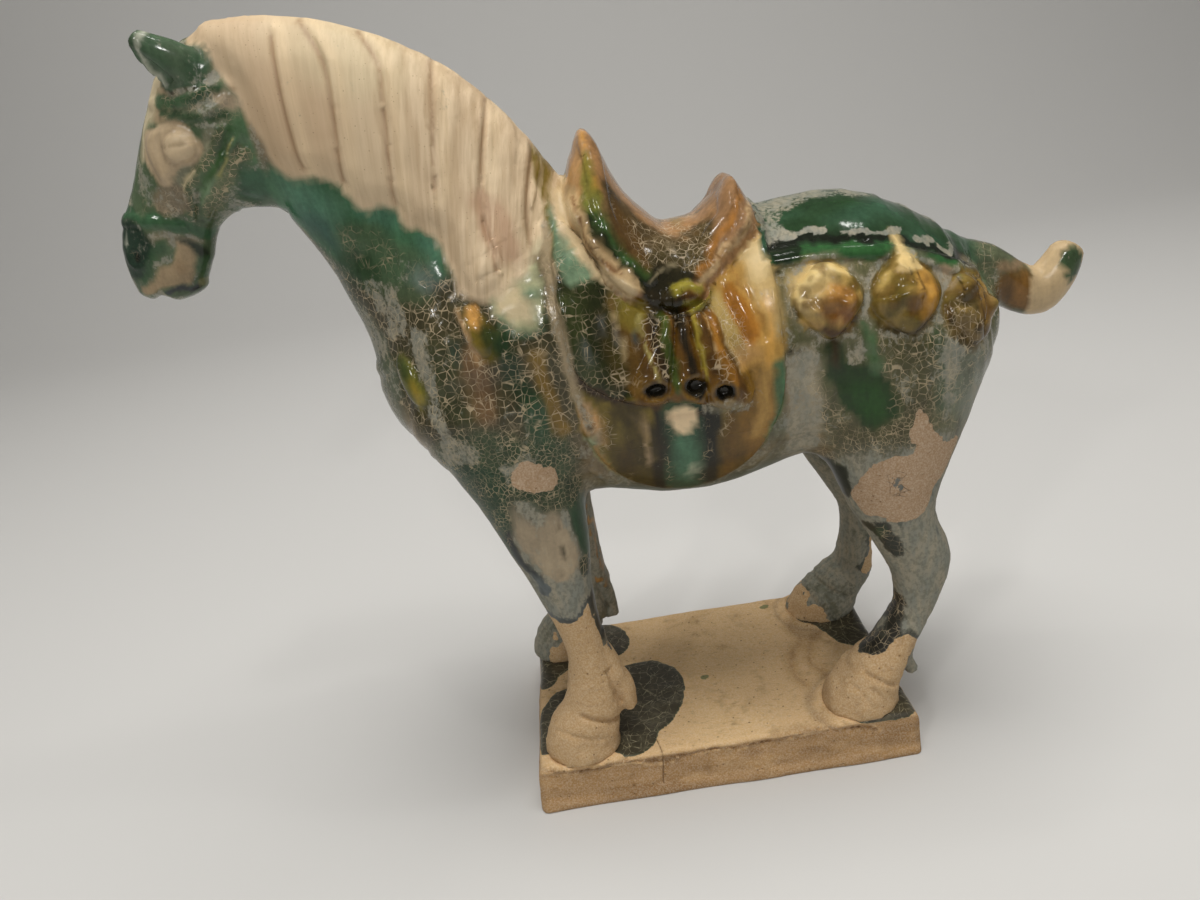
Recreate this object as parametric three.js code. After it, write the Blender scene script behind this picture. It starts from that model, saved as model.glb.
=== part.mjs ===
// Glazed horse figurine standing on a clay slab, in millimetres, +Z up.
// The head points along -X, the left side of the animal faces -Y, and the
// origin is the centre of the slab's underside.
import * as THREE from 'three';

// Driving dimensions of the slab
const slabLength = 160;
const slabWidth = 100.6;
const slabThickness = 20.5;
const slabFlare = 2.2;
const slabCorner = 3;
const slabWornEdge = 1.2;
const slabWaviness = 0.4;

// Sections of the animal: centre x, centre z, half depth, half width
const trunkSections = [
  [-95, 178, 17, 21],
  [-80, 175, 37, 32],
  [-55, 178, 48, 38],
  [-25, 175, 50, 40],
  [5, 170.5, 51.5, 40.5],
  [40, 178, 50.5, 40],
  [72, 179, 50.5, 41],
  [100, 179, 36, 37],
  [115.5, 177, 15, 26],
];
const neckSections = [
  [-62, 200, 49, 36],
  [-73, 227, 46, 28],
  [-84, 250, 43, 22],
  [-100, 269, 39, 18],
  [-120, 283, 32.5, 15],
  [-144, 287.5, 29.5, 13],
];
const headSections = [
  [-148, 292, 19.5, 12],
  [-160, 274, 18.5, 13.5],
  [-171, 260, 15.5, 10.5],
  [-178, 248, 16, 9.5],
  [-180.5, 239, 14.5, 9],
  [-181, 233.5, 13, 8],
];
const tailSections = [
  [106, 198, 8, 9],
  [126, 193, 7.5, 7.5],
  [136, 183.5, 9, 7.5],
  [147, 178, 9, 7.5],
  [154.5, 184, 8.5, 7],
  [158.5, 191.5, 7, 5.5],
];

// Sections of the left legs: centre x, y, z, half depth, half width
const foreSections = [
  [-67, -20, 171, 33, 22],
  [-64, -26, 144, 21.5, 19],
  [-59, -30, 118, 16, 14.5],
  [-55.5, -32, 92, 10.5, 11.5],
  [-52, -33, 68, 8.3, 9],
  [-51.5, -34, 50, 11, 10.5],
  [-54, -35, 38, 12.5, 12],
  [-59.5, -36, 26, 15.5, 14],
  [-60.5, -36.5, 12, 17, 15.5],
];
const hindSections = [
  [89, -18, 172, 29, 24],
  [81, -24, 147, 28, 20],
  [78, -28, 122, 21, 16],
  [81, -30, 102, 14, 12],
  [88, -31, 83, 12.5, 10.5],
  [85, -32, 63, 8, 8.5],
  [78.5, -33, 52, 8, 9.5],
  [73.5, -34, 43, 9.5, 10.5],
  [67, -34.5, 35, 12, 12.5],
  [61.5, -35, 24, 15.5, 14.5],
  [60, -36, 12, 17.5, 15],
];
// How far each section of a right leg stands back from its twin on the left
const foreStagger = [0, 1, 2, 4, 3, 0, -3, -5, -6];
const hindStagger = [0, -1, -4, -3.5, -2.5, -3, 1.5, 5.5, 5.5, 3.5, 1.5];

// A tuft hangs behind each fetlock: x, y, z and radius
const leftTufts = [
  [
    [-43, -34, 62, 3],
    [-39.5, -34, 47, 4.5],
    [-38, -34.5, 37.5, 3.2],
  ],
  [
    [80, -33, 47, 3.5],
    [81.5, -33, 38, 3.2],
    [83.5, -33.5, 31, 3],
  ],
];
const rightTufts = [
  [
    [-42, 34, 60, 3],
    [-41.5, 34, 47, 3.5],
    [-41, 34.5, 38, 3],
  ],
  [
    [85, 33, 60, 3],
    [85.5, 33, 49, 3.4],
    [84, 33.5, 40, 2.6],
  ],
];

// The ears, as sections like those of the legs
const earSections = [
  [-147, -9, 300, 8.5, 4.5],
  [-152.5, -10.5, 305.5, 7.5, 4.5],
  [-158, -12, 310.5, 5.8, 3.8],
  [-161.5, -13, 315, 3.2, 2.2],
];
const earHollow = [
  [-155.5, -13.5, 301, 2.2, 2.6],
  [-160.5, -15, 307, 2.4, 2.4],
  [-164.5, -15.5, 312, 1.6, 1.4],
];

// How far the fillet reaches where one form grows out of another
const fillets = { neck: 24, head: 9, tail: 8, foreLeg: 12, hindLeg: 14, tuft: 3, ear: 3 };

// Saddle tree: an arch across the back whose crest runs along this line
const treeCrest = [
  [-34, 236],
  [-30.5, 247],
  [-27, 258],
  [-23, 265],
  [-19, 262],
  [-16, 254],
  [-11.5, 242],
  [-4, 231.5],
  [5, 224],
  [14, 226],
  [22, 234],
  [28, 241.5],
  [32, 237.5],
  [35, 227],
];
const treeCentreHeight = 204;
const treeHalfWidth = 31;
const treeLowerEdge = [
  [-34, 250],
  [-26, 233],
  [-20, 221],
  [-11, 213],
  [0, 210],
  [10, 213],
  [20, 220],
  [29, 226],
  [40, 231],
];

// Cloths, all lying on the trunk and drawn in the side view
const blanketCentre = [-2, 180];
const blanketHalfLength = 39;
const blanketDrop = 51;
const blanketThickness = 2;
const coverThickness = 2.2;
const coverOutline = [
  [-38, 244],
  [-29, 229],
  [-17, 214],
  [0, 207],
  [11, 209],
  [17, 192],
  [25, 172],
  [16, 166],
  [0, 171],
  [-18, 172],
  [-32, 179],
  [-40, 194],
  [-41, 220],
];
const clothEdge = 1.6;
const knotCentre = [3, 206];
const knotSize = [9, 5.5];
const knotHeight = 3.5;
const pleatCount = 5;
const pleatFan = 0.62;
const pleatHeight = 1.8;
const padWidth = 5;
const padThickness = 3.4;

// Mane: a slab of hair laid over the neck on both sides
const maneThickness = 3;
const maneOutline = [
  [-141, 294],
  [-136, 279],
  [-129, 267],
  [-118, 262.5],
  [-108, 260],
  [-99, 251],
  [-87, 245],
  [-79, 237],
  [-73, 222],
  [-64, 216],
  [-53, 223],
  [-44, 236],
  [-40, 254],
  [-44, 290],
  [-90, 330],
  [-150, 330],
  [-149, 312],
];
const lockWidth = 11;
const lockDepth = 1.3;
const partingWidth = 12;

// Straps, by their run in the side view
const crupperRun = [
  [34, 214],
  [55, 213.5],
  [75, 210.5],
  [95, 203],
  [110, 194],
  [124, 182],
];
const crupperWidth = 5;
const crupperHeight = 1.8;
const crupperRunOut = 120;
const breastRun = [
  [-120, 189],
  [-104, 196],
  [-90, 204],
  [-75, 215],
  [-60, 222],
  [-40, 224],
];
const breastWidth = 4;
const breastHeight = 1.2;

// What hangs on the straps: centre in the side view, half sizes and height
const bosses = [
  { at: [53.5, 199], radius: 12, height: 6.5 },
  { at: [81, 196], radius: 12.5, height: 6.5 },
  { at: [104, 188], radius: 12, height: 5.5 },
];
const pendants = [
  { at: [-70, 208], size: [4.5, 9.5], lean: 0.35, height: 3 },
  { at: [-97, 191], size: [4.2, 10], lean: 0.25, height: 3 },
];

// Face: places in the side view
const eyeCentre = [-161.5, 279];
const eyeSize = [8.5, 7.5];
const eyeHeight = 2.2;
const cheekCentre = [-148, 270];
const cheekRadius = 12;
const cheekHeight = 1.2;
const nostrilCentre = [-187, 247];
const nostrilRadius = 3;
const nostrilDepth = 1.6;
const mouthCorner = [-185, 227.5];
const mouthRadius = 3.6;

// How finely the surface is traced, and how many triangles are kept
const tracingCell = 2.4;
const horseTriangles = 9200;

// Plain arithmetic of forms

const clamp = (value, low, high) => Math.min(Math.max(value, low), high);

// The smaller of two distances, with a fillet of about this reach between them
function join(a, b, reach) {
  const overlap = Math.max(reach - Math.abs(a - b), 0) / reach;
  return Math.min(a, b) - (overlap * overlap * reach) / 4;
}

// The larger of two distances, which cuts one form with another
const cut = (a, b, reach) => -join(-a, -b, reach);

// A height that climbs from nothing at an edge to its full value inside
function raised(edge, height, slope) {
  const t = clamp(-edge / slope, 0, 1);
  return height * t * t * (3 - 2 * t);
}

// A dome by the distance from its centre, as a share of its radius
const dome = (share, height) => height * Math.sqrt(Math.max(0, 1 - share * share));

// Adds rows between the given ones along a Catmull-Rom spline
function smoothRows(rows, steps) {
  const last = rows.length - 1;
  const result = [];
  for (let i = 0; i < last; i++) {
    const [a, b, c, d] = [rows[Math.max(i - 1, 0)], rows[i], rows[i + 1], rows[Math.min(i + 2, last)]];
    for (let step = 0; step < steps; step++) {
      const t = step / steps;
      result.push(b.map((value, k) => 0.5 * (2 * value + (c[k] - a[k]) * t
        + (2 * a[k] - 5 * value + 4 * c[k] - d[k]) * t * t
        + (3 * value - a[k] - 3 * c[k] + d[k]) * t * t * t)));
    }
  }
  result.push(rows[last]);
  return result;
}

// Height of a smooth line drawn through points that go along x
function heightAlong(points) {
  const line = smoothRows(points, 5);
  return (x) => {
    const i = clamp(line.findIndex((point) => point[0] > x), 1, line.length - 1);
    const [[x0, z0], [x1, z1]] = [line[i - 1], line[i]];
    return z0 + ((z1 - z0) * clamp(x - x0, 0, x1 - x0)) / (x1 - x0);
  };
}

// Distance in the side view to a smooth open line
function distanceToLine(points, steps = 4) {
  const line = smoothRows(points, steps);
  return (x, z) => {
    let best = Infinity;
    for (let i = 1; i < line.length; i++) {
      const [[x0, z0], [x1, z1]] = [line[i - 1], line[i]];
      const [dx, dz] = [x1 - x0, z1 - z0];
      const t = clamp(((x - x0) * dx + (z - z0) * dz) / (dx * dx + dz * dz), 0, 1);
      best = Math.min(best, Math.hypot(x - x0 - t * dx, z - z0 - t * dz));
    }
    return best;
  };
}

// Distance in the side view to a smooth closed outline, negative inside it
function distanceToOutline(points) {
  const count = points.length;
  const wrapped = [points[count - 1], ...points, points[0], points[1]];
  const line = smoothRows(wrapped, 3).slice(3, 3 * (count + 1) + 1);
  const toLine = distanceToLine(line, 1);
  return (x, z) => {
    let inside = false;
    for (let i = 1; i < line.length; i++) {
      const [[x0, z0], [x1, z1]] = [line[i - 1], line[i]];
      if (z0 > z !== z1 > z && x < x0 + ((z - z0) * (x1 - x0)) / (z1 - z0)) inside = !inside;
    }
    return inside ? -toLine(x, z) : toLine(x, z);
  };
}

// A trunk, neck or leg: elliptical sections threaded on a smooth spine, with
// the space between two sections shared out along it. Returns the distance to
// its skin, negative inside.
function threaded(rows, { steps = 3, startCap = 0.8, endCap = startCap } = {}) {
  const sections = smoothRows(rows, steps);
  const last = sections.length - 1;
  const sideways = new THREE.Vector3(0, 1, 0);
  const centres = sections.map(([x, y, z]) => new THREE.Vector3(x, y, z));
  const frames = centres.map((centre, i) => {
    const along = centres[Math.min(i + 1, last)].clone().sub(centres[Math.max(i - 1, 0)]).normalize();
    const wide = sideways.clone().addScaledVector(along, -along.y).normalize();
    const deep = along.clone().cross(wide);
    return { centre, along, deep, wide, halfDepth: sections[i][3], halfWidth: sections[i][4] };
  });
  const box = new THREE.Box3().setFromPoints(centres);
  box.expandByScalar(Math.max(...sections.map((row) => Math.max(row[3], row[4]))));
  const farAway = 26;
  const innerCap = 0.3;
  const point = new THREE.Vector3();

  return (x, y, z) => {
    point.set(x, y, z);
    const outside = box.distanceToPoint(point);
    if (outside > farAway) return outside;
    let best = Infinity;
    for (let i = 0; i < last; i++) {
      const [from, to] = [frames[i], frames[i + 1]];
      const [ax, ay, az] = [x - from.centre.x, y - from.centre.y, z - from.centre.z];
      const [bx, by, bz] = [x - to.centre.x, y - to.centre.y, z - to.centre.z];
      const past = ax * from.along.x + ay * from.along.y + az * from.along.z;
      const before = bx * to.along.x + by * to.along.y + bz * to.along.z;
      const room = past - before;
      const t = room > 1e-6 ? clamp(past / room, 0, 1) : Number(past > 0);
      const mix = (p, q) => p + (q - p) * t;
      const [qx, qy, qz] = [mix(ax, bx), mix(ay, by), mix(az, bz)];
      const u = qx * mix(from.deep.x, to.deep.x) + qy * mix(from.deep.y, to.deep.y)
        + qz * mix(from.deep.z, to.deep.z);
      const v = qx * mix(from.wide.x, to.wide.x) + qy * mix(from.wide.y, to.wide.y)
        + qz * mix(from.wide.z, to.wide.z);
      const w = t <= 0 ? past : t >= 1 ? before : 0;
      const a = mix(from.halfDepth, to.halfDepth);
      const b = mix(from.halfWidth, to.halfWidth);
      const firstHalf = t < 0.5;
      const isEnd = firstHalf ? i === 0 : i === last - 1;
      const c = Math.min(a, b) * (isEnd ? (firstHalf ? startCap : endCap) : innerCap);
      const size = Math.hypot(u / a, v / b, w / c);
      const slope = Math.hypot(u / (a * a), v / (b * b), w / (c * c)) + 1e-9;
      best = Math.min(best, (size * (size - 1)) / slope);
    }
    return best;
  };
}

// Sections in the plane of symmetry, given without their y
const onAxis = (rows) => rows.map(([x, z, a, b]) => [x, 0, z, a, b]);

// The same leg or ear on the right side, each section moved along x
const rightHand = (rows, stagger = []) => {
  const moved = (i) => stagger[i] ?? 0;
  return rows.map(([x, y, ...rest], i) => [x + moved(i), -y, ...rest]);
};

const asSections = (rows) => rows.map(([x, y, z, radius]) => [x, y, z, radius, radius]);

// The bare animal

const trunk = threaded(onAxis(trunkSections));
const neck = threaded(onAxis(neckSections), { startCap: 0.6 });
const head = threaded(onAxis(headSections), { startCap: 0.7 });
const tail = threaded(onAxis(tailSections), { startCap: 0.9 });
const legCap = { startCap: 0.5 };
const pairOfLegs = (rows, stagger) => {
  const pair = [rows, rightHand(rows, stagger)];
  return pair.map((leg) => threaded(leg, legCap));
};
const foreLegs = pairOfLegs(foreSections, foreStagger);
const hindLegs = pairOfLegs(hindSections, hindStagger);
const tufts = [...leftTufts, ...rightTufts].map((rows) => threaded(asSections(rows)));

function bareAnimal(x, y, z) {
  let d = join(trunk(x, y, z), neck(x, y, z), fillets.neck);
  d = join(d, head(x, y, z), fillets.head);
  d = join(d, tail(x, y, z), fillets.tail);
  for (const leg of foreLegs) d = join(d, leg(x, y, z), fillets.foreLeg);
  for (const leg of hindLegs) d = join(d, leg(x, y, z), fillets.hindLeg);
  for (const tuft of tufts) d = join(d, tuft(x, y, z), fillets.tuft);
  return d;
}

// Hair, cloths, straps and features of the face, as heights over the skin

const maneEdge = distanceToOutline(maneOutline);

// Locks hang almost straight down from the parting along the crest
function maneHeight(x, side, z) {
  const lock = (x - maneOutline[0][0]) / lockWidth;
  const groove = (0.5 + 0.5 * Math.cos(2 * Math.PI * lock)) ** 3;
  const fromParting = clamp(side / partingWidth, 0, 1);
  return raised(maneEdge(x, z), (maneThickness - lockDepth * groove) * fromParting, 3.5);
}

const coverEdge = distanceToOutline(coverOutline);

function blanketEdge(x, z) {
  const along = Math.abs(x - blanketCentre[0]);
  const below = Math.max(blanketCentre[1] - z, 0);
  const share = Math.hypot(along / blanketHalfLength, below / blanketDrop);
  return (share - 1) * (below > 0 ? blanketHalfLength : along / Math.max(share, 1e-6));
}

// The cover is gathered at the knot and falls from it in a fan of round folds
function pleatRelief(x, z) {
  const [dx, dz] = [x - knotCentre[0], knotCentre[1] + 6 - z];
  const angle = Math.atan2(dx, dz);
  if (dz < 8 || Math.abs(angle) > pleatFan) return 0;
  const wave = Math.cos((angle / pleatFan) * pleatCount * Math.PI);
  return pleatHeight * (0.5 - 0.5 * wave) * clamp((dz - 8) / 10, 0, 1);
}

function clothHeight(x, z) {
  const cover = coverEdge(x, z);
  const folds = raised(cover, pleatRelief(x, z), 2);
  const fromKnot = Math.hypot((x - knotCentre[0]) / knotSize[0], (z - knotCentre[1]) / knotSize[1]);
  const blanket = raised(blanketEdge(x, z), blanketThickness, clothEdge);
  return blanket + raised(cover, coverThickness, clothEdge) + folds + dome(fromKnot, knotHeight);
}

const crupperLine = distanceToLine(crupperRun);
const breastLine = distanceToLine(breastRun);

const strapHeight = (distance, width, height) => dome(distance / (width / 2), height);

// The crupper runs out where the rump turns under the tail
const crupperFade = (x) => clamp((crupperRunOut - x) / 8, 0, 1);

// The depth, from the plane of symmetry, of the skin behind a place seen from
// the side
function skinAt([x, z]) {
  let [near, far] = [0, 60];
  for (let i = 0; i < 24; i++) {
    const middle = (near + far) / 2;
    if (bareAnimal(x, -middle, z) < 0) near = middle;
    else far = middle;
  }
  return near;
}
const bossPlaces = bosses.map((boss) => ({ ...boss, depth: skinAt(boss.at) }));

function bossHeight(x, side, z) {
  let height = 0;
  for (const { at, depth, radius, height: top } of bossPlaces) {
    const away = Math.hypot(x - at[0], side - depth, z - at[1]);
    height = Math.max(height, dome(away / radius, top));
  }
  return height;
}

function pendantHeight(x, z) {
  let height = 0;
  for (const { at, size, lean, height: top } of pendants) {
    const [dx, dz] = [x - at[0], z - at[1]];
    const across = (dx * Math.cos(lean) + dz * Math.sin(lean)) / size[0];
    const along = (dz * Math.cos(lean) - dx * Math.sin(lean)) / size[1];
    height = Math.max(height, dome(Math.hypot(across * (1 + 0.35 * along), along), top));
  }
  return height;
}

const roundSpot = (x, z, centre, radius) => Math.hypot(x - centre[0], z - centre[1]) / radius;

function faceHeight(x, z) {
  const fromEye = Math.hypot((x - eyeCentre[0]) / eyeSize[0], (z - eyeCentre[1]) / eyeSize[1]);
  const eye = dome(fromEye, eyeHeight);
  const cheek = raised((roundSpot(x, z, cheekCentre, cheekRadius) - 1) * cheekRadius, cheekHeight, 7);
  const nostril = dome(roundSpot(x, z, nostrilCentre, nostrilRadius), nostrilDepth);
  return Math.max(eye, cheek) - nostril;
}

const shoulderLine = -122;
const backOfMane = -30;
const lowestCloth = 110;

function reliefHeight(x, y, z) {
  const side = Math.abs(y);
  if (x < shoulderLine) return Math.max(faceHeight(x, z), maneHeight(x, side, z));
  if (z < lowestCloth) return 0;
  let height = x < backOfMane ? maneHeight(x, side, z) : 0;
  height = Math.max(height, clothHeight(x, z));
  const crupperTop = crupperHeight * crupperFade(x);
  height = Math.max(height, strapHeight(crupperLine(x, z), crupperWidth, crupperTop));
  height = Math.max(height, strapHeight(breastLine(x, z), breastWidth, breastHeight));
  return Math.max(height, bossHeight(x, side, z), pendantHeight(x, z));
}

// Saddle tree, with the pad that shows as a rim below it

// The share of a distance in section that counts along the leaning crest, and
// across the leaning lower edge
const archLean = 0.6;
const edgeLean = 0.8;
const crestHeight = heightAlong(treeCrest);
const lowerEdge = heightAlong(treeLowerEdge);
const treeEnds = [treeCrest[0][0], treeCrest[treeCrest.length - 1][0]];

function treeDistance(x, y, z) {
  const rise = crestHeight(x) - treeCentreHeight;
  const [u, v] = [(z - treeCentreHeight) / rise, y / treeHalfWidth];
  const size = Math.hypot(u, v);
  const slope = Math.hypot(u / rise, v / treeHalfWidth) + 1e-9;
  const arch = (archLean * size * (size - 1)) / slope;
  const below = (lowerEdge(x) - z) * edgeLean;
  const ends = Math.max(treeEnds[0] - x, x - treeEnds[1]);
  return cut(cut(arch, below, 2), ends, 2);
}

function padDistance(skin, x, z) {
  const below = (lowerEdge(x) - padWidth - z) * edgeLean;
  const above = z - crestHeight(x);
  const edge = Math.max(below, above, treeEnds[0] + 5 - x, x - treeEnds[1] + 2);
  return cut(skin - padThickness - blanketThickness, edge, 2.5);
}

// Ears and mouth

const ears = [earSections, rightHand(earSections)].map((rows) => threaded(rows, { startCap: 0.6 }));
const earHollows = [earHollow, rightHand(earHollow)].map((rows) => threaded(rows));

// Relief is worked out only this near the skin, and nothing at all beyond the
// second distance
const reliefReach = 14;
const outOfReach = 42;
const lowestPad = 195;

// The whole horse as one body, cut flat where the hooves are luted to the slab
function horseDistance(x, y, z) {
  const skin = bareAnimal(x, y, z);
  if (skin > outOfReach) return skin;
  let d = skin < reliefReach ? skin - reliefHeight(x, y, z) : skin;
  const byTree = x > treeEnds[0] - 8 && x < treeEnds[1] + 8;
  if (byTree && z > lowestPad) {
    d = join(d, padDistance(skin, x, z), 1.5);
    d = join(d, treeDistance(x, y, z), 1.2);
  }
  for (const ear of ears) d = join(d, ear(x, y, z), fillets.ear);
  for (const hollow of earHollows) d = cut(d, -hollow(x, y, z), 1);
  d = cut(d, mouthRadius - Math.hypot(x - mouthCorner[0], z - mouthCorner[1]), 2);
  return Math.max(d, slabThickness - z);
}

// Traces the surface of a form given by its distance: every cube of a grid is
// split into six tetrahedra around its diagonal, and each of them that the
// surface crosses gives one or two triangles.
function traceSurface(distance, box, cell) {
  const size = box.getSize(new THREE.Vector3());
  const block = 4;
  const counts = size.toArray().map((extent) => Math.ceil(extent / cell / block) * block + 1);
  const [nx, ny, nz] = counts;
  const index = (i, j, k) => (i * ny + j) * nz + k;
  const place = (i, j, k) => [box.min.x + i * cell, box.min.y + j * cell, box.min.z + k * cell];
  const values = new Float64Array(nx * ny * nz).fill(NaN);
  const valueAt = (i, j, k) => {
    const at = index(i, j, k);
    if (Number.isNaN(values[at])) values[at] = distance(...place(i, j, k)) || 1e-9;
    return values[at];
  };

  // The corners of the six tetrahedra, and for each set of corners that lies
  // inside, the order in which to go round the others
  const orders = [[0, 1, 2], [1, 2, 0], [2, 0, 1], [0, 2, 1], [2, 1, 0], [1, 0, 2]];
  const corners = orders.map((order) => {
    const path = [[0, 0, 0]];
    for (const axis of order) {
      path.push(path[path.length - 1].map((value, k) => value + Number(k === axis)));
    }
    return path;
  });
  const oddFrom = 3;
  const singles = [1, 2, 4, 8];
  const oneInside = [[0, 1, 2, 3], [1, 0, 3, 2], [2, 3, 0, 1], [3, 2, 1, 0]];
  const twoInside = {
    3: [0, 1, 2, 3],
    5: [0, 2, 3, 1],
    6: [1, 2, 0, 3],
    9: [0, 3, 1, 2],
    10: [1, 3, 2, 0],
    12: [2, 3, 0, 1],
  };

  const positions = [];
  const triangles = [];
  const crossings = new Map();
  const offCorner = 0.02;
  const crossing = (p, q) => {
    const [a, b] = [index(...p), index(...q)];
    const key = Math.min(a, b) * values.length + Math.max(a, b);
    if (!crossings.has(key)) {
      const share = valueAt(...p) / (valueAt(...p) - valueAt(...q));
      const t = clamp(share, offCorner, 1 - offCorner);
      const [start, end] = [place(...p), place(...q)];
      crossings.set(key, positions.length);
      positions.push(start.map((value, k) => value + (end[k] - value) * t));
    }
    return crossings.get(key);
  };
  const addTetrahedron = (tetra, odd) => {
    let code = 0;
    tetra.forEach((corner, k) => {
      if (valueAt(...corner) < 0) code += 2 ** k;
    });
    if (code === 0 || code === 15) return;
    const add = (a, b, c, flip) => triangles.push(flip ? [a, c, b] : [a, b, c]);
    const order = twoInside[code];
    if (order) {
      const [a, b, c, d] = order.map((k) => tetra[k]);
      const quad = [crossing(a, c), crossing(a, d), crossing(b, d), crossing(b, c)];
      add(quad[0], quad[1], quad[2], odd);
      add(quad[0], quad[2], quad[3], odd);
      return;
    }
    const lone = singles.includes(code);
    const tip = singles.indexOf(lone ? code : 15 - code);
    const [a, b, c, d] = oneInside[tip].map((k) => tetra[k]);
    add(crossing(a, b), crossing(a, c), crossing(a, d), lone === odd);
  };

  // Blocks of cubes whose middle lies well away from the surface are passed by
  const reach = block * cell * 1.3;
  for (let bi = 0; bi < nx - 1; bi += block) {
    for (let bj = 0; bj < ny - 1; bj += block) {
      for (let bk = 0; bk < nz - 1; bk += block) {
        const middle = [bi, bj, bk].map((value) => value + block / 2);
        if (Math.abs(valueAt(...middle)) > reach) continue;
        for (let i = bi; i < bi + block; i++) {
          for (let j = bj; j < bj + block; j++) {
            for (let k = bk; k < bk + block; k++) {
              corners.forEach((path, n) => {
                addTetrahedron(path.map(([di, dj, dk]) => [i + di, j + dj, k + dk]), n >= oddFrom);
              });
            }
          }
        }
      }
    }
  }
  return { positions, triangles };
}

// A priority queue that always gives the entry of least cost
class CheapestFirst {
  constructor() {
    this.entries = [];
  }

  push(entry) {
    const { entries } = this;
    let at = entries.push(entry) - 1;
    while (at > 0) {
      const above = (at - 1) >> 1;
      if (entries[above].cost <= entry.cost) break;
      entries[at] = entries[above];
      at = above;
    }
    entries[at] = entry;
  }

  pop() {
    const { entries } = this;
    const top = entries[0];
    const entry = entries.pop();
    if (entries.length === 0) return top;
    let at = 0;
    for (;;) {
      let below = 2 * at + 1;
      if (below >= entries.length) break;
      if (below + 1 < entries.length && entries[below + 1].cost < entries[below].cost) below += 1;
      if (entries[below].cost >= entry.cost) break;
      entries[at] = entries[below];
      at = below;
    }
    entries[at] = entry;
    return top;
  }
}

// Merges the ends of the edges that matter least, by the squared distance to
// the planes of the faces around them, until few enough triangles are left
function simplify({ positions, triangles }, target) {
  const subtract = (p, q) => [p[0] - q[0], p[1] - q[1], p[2] - q[2]];
  const cross = ([a, b, c], [d, e, f]) => [b * f - c * e, c * d - a * f, a * e - b * d];
  const dot = (p, q) => p[0] * q[0] + p[1] * q[1] + p[2] * q[2];
  const normalOf = (a, b, c) => cross(subtract(b, a), subtract(c, a));

  // The ten numbers of a symmetric matrix that gives squared distances
  const planes = positions.map(() => new Float64Array(10));
  const facesAt = positions.map(() => new Set());
  triangles.forEach((face, f) => {
    const normal = normalOf(...face.map((v) => positions[v]));
    const area = Math.hypot(...normal);
    const [a, b, c] = normal.map((value) => value / (area || 1));
    const d = -dot([a, b, c], positions[face[0]]);
    const terms = [a * a, a * b, a * c, a * d, b * b, b * c, b * d, c * c, c * d, d * d];
    for (const v of face) {
      facesAt[v].add(f);
      terms.forEach((term, k) => {
        planes[v][k] += term * area;
      });
    }
  });

  const costAt = (q, [x, y, z]) => q[0] * x * x + 2 * q[1] * x * y + 2 * q[2] * x * z + 2 * q[3] * x
    + q[4] * y * y + 2 * q[5] * y * z + 2 * q[6] * y + q[7] * z * z + 2 * q[8] * z + q[9];
  const wellSolved = 1e-5;
  const bestPlace = (q, start, end) => {
    const middle = start.map((value, k) => (value + end[k]) / 2);
    const rows = [[q[0], q[1], q[2]], [q[1], q[4], q[5]], [q[2], q[5], q[7]]];
    const right = [-q[3], -q[6], -q[8]];
    const scale = rows[0][0] + rows[1][1] + rows[2][2];
    const det = dot(rows[0], cross(rows[1], rows[2]));
    const choices = [start, end, middle];
    if (det > wellSolved * scale ** 3) {
      const solved = [0, 1, 2].map((column) => {
        const m = rows.map((row, r) => row.map((value, k) => (k === column ? right[r] : value)));
        return dot(m[0], cross(m[1], m[2])) / det;
      });
      const span = Math.hypot(...subtract(start, end));
      if (Math.hypot(...subtract(solved, middle)) < 2 * span) choices.push(solved);
    }
    let best = { cost: Infinity };
    for (const choice of choices) {
      choice[2] = Math.max(choice[2], slabThickness);
      const cost = costAt(q, choice);
      if (cost < best.cost) best = { cost, at: choice };
    }
    return best;
  };

  const version = new Int32Array(positions.length);
  const queue = new CheapestFirst();
  const offer = (a, b) => {
    const sum = planes[a].map((value, k) => value + planes[b][k]);
    const { cost, at } = bestPlace(sum, [...positions[a]], [...positions[b]]);
    const length = Math.hypot(...subtract(positions[a], positions[b]));
    const preferShort = 1e-4 * length ** 3;
    queue.push({ cost: cost + preferShort, at, a, b, stamp: version[a] + version[b] });
  };
  const neighbours = (v) => {
    const found = new Set();
    for (const f of facesAt[v]) triangles[f].forEach((other) => found.add(other));
    found.delete(v);
    return found;
  };
  positions.forEach((_, a) => {
    for (const b of neighbours(a)) if (a < b) offer(a, b);
  });

  const leastAgreement = 0.25;
  const wouldFold = (moved, gone, at) => {
    for (const f of facesAt[moved]) {
      const face = triangles[f];
      if (face.includes(gone)) continue;
      const before = normalOf(...face.map((v) => positions[v]));
      const after = normalOf(...face.map((v) => (v === moved ? at : positions[v])));
      const turned = dot(before, after) / (Math.hypot(...before) * Math.hypot(...after));
      if (!(turned > leastAgreement)) return true;
    }
    return false;
  };

  let left = triangles.length;
  while (left > target && queue.entries.length > 0) {
    const { a, b, at, stamp } = queue.pop();
    if (facesAt[a].size === 0 || facesAt[b].size === 0 || stamp !== version[a] + version[b]) continue;
    const around = neighbours(b);
    if (!around.has(a)) continue;
    const shared = [...neighbours(a)].filter((v) => around.has(v));
    if (shared.length !== 2 || wouldFold(a, b, at) || wouldFold(b, a, at)) continue;
    positions[a] = at;
    planes[b].forEach((value, k) => {
      planes[a][k] += value;
    });
    for (const f of [...facesAt[b]]) {
      const face = triangles[f];
      if (face.includes(a)) {
        for (const v of face) facesAt[v].delete(f);
        triangles[f] = null;
        left -= 1;
      } else {
        triangles[f] = face.map((v) => (v === b ? a : v));
        facesAt[b].delete(f);
        facesAt[a].add(f);
      }
    }
    version[a] += 1;
    version[b] += 1;
    for (const v of neighbours(a)) offer(a, v);
  }
  return { positions, triangles: triangles.filter(Boolean) };
}

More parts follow.
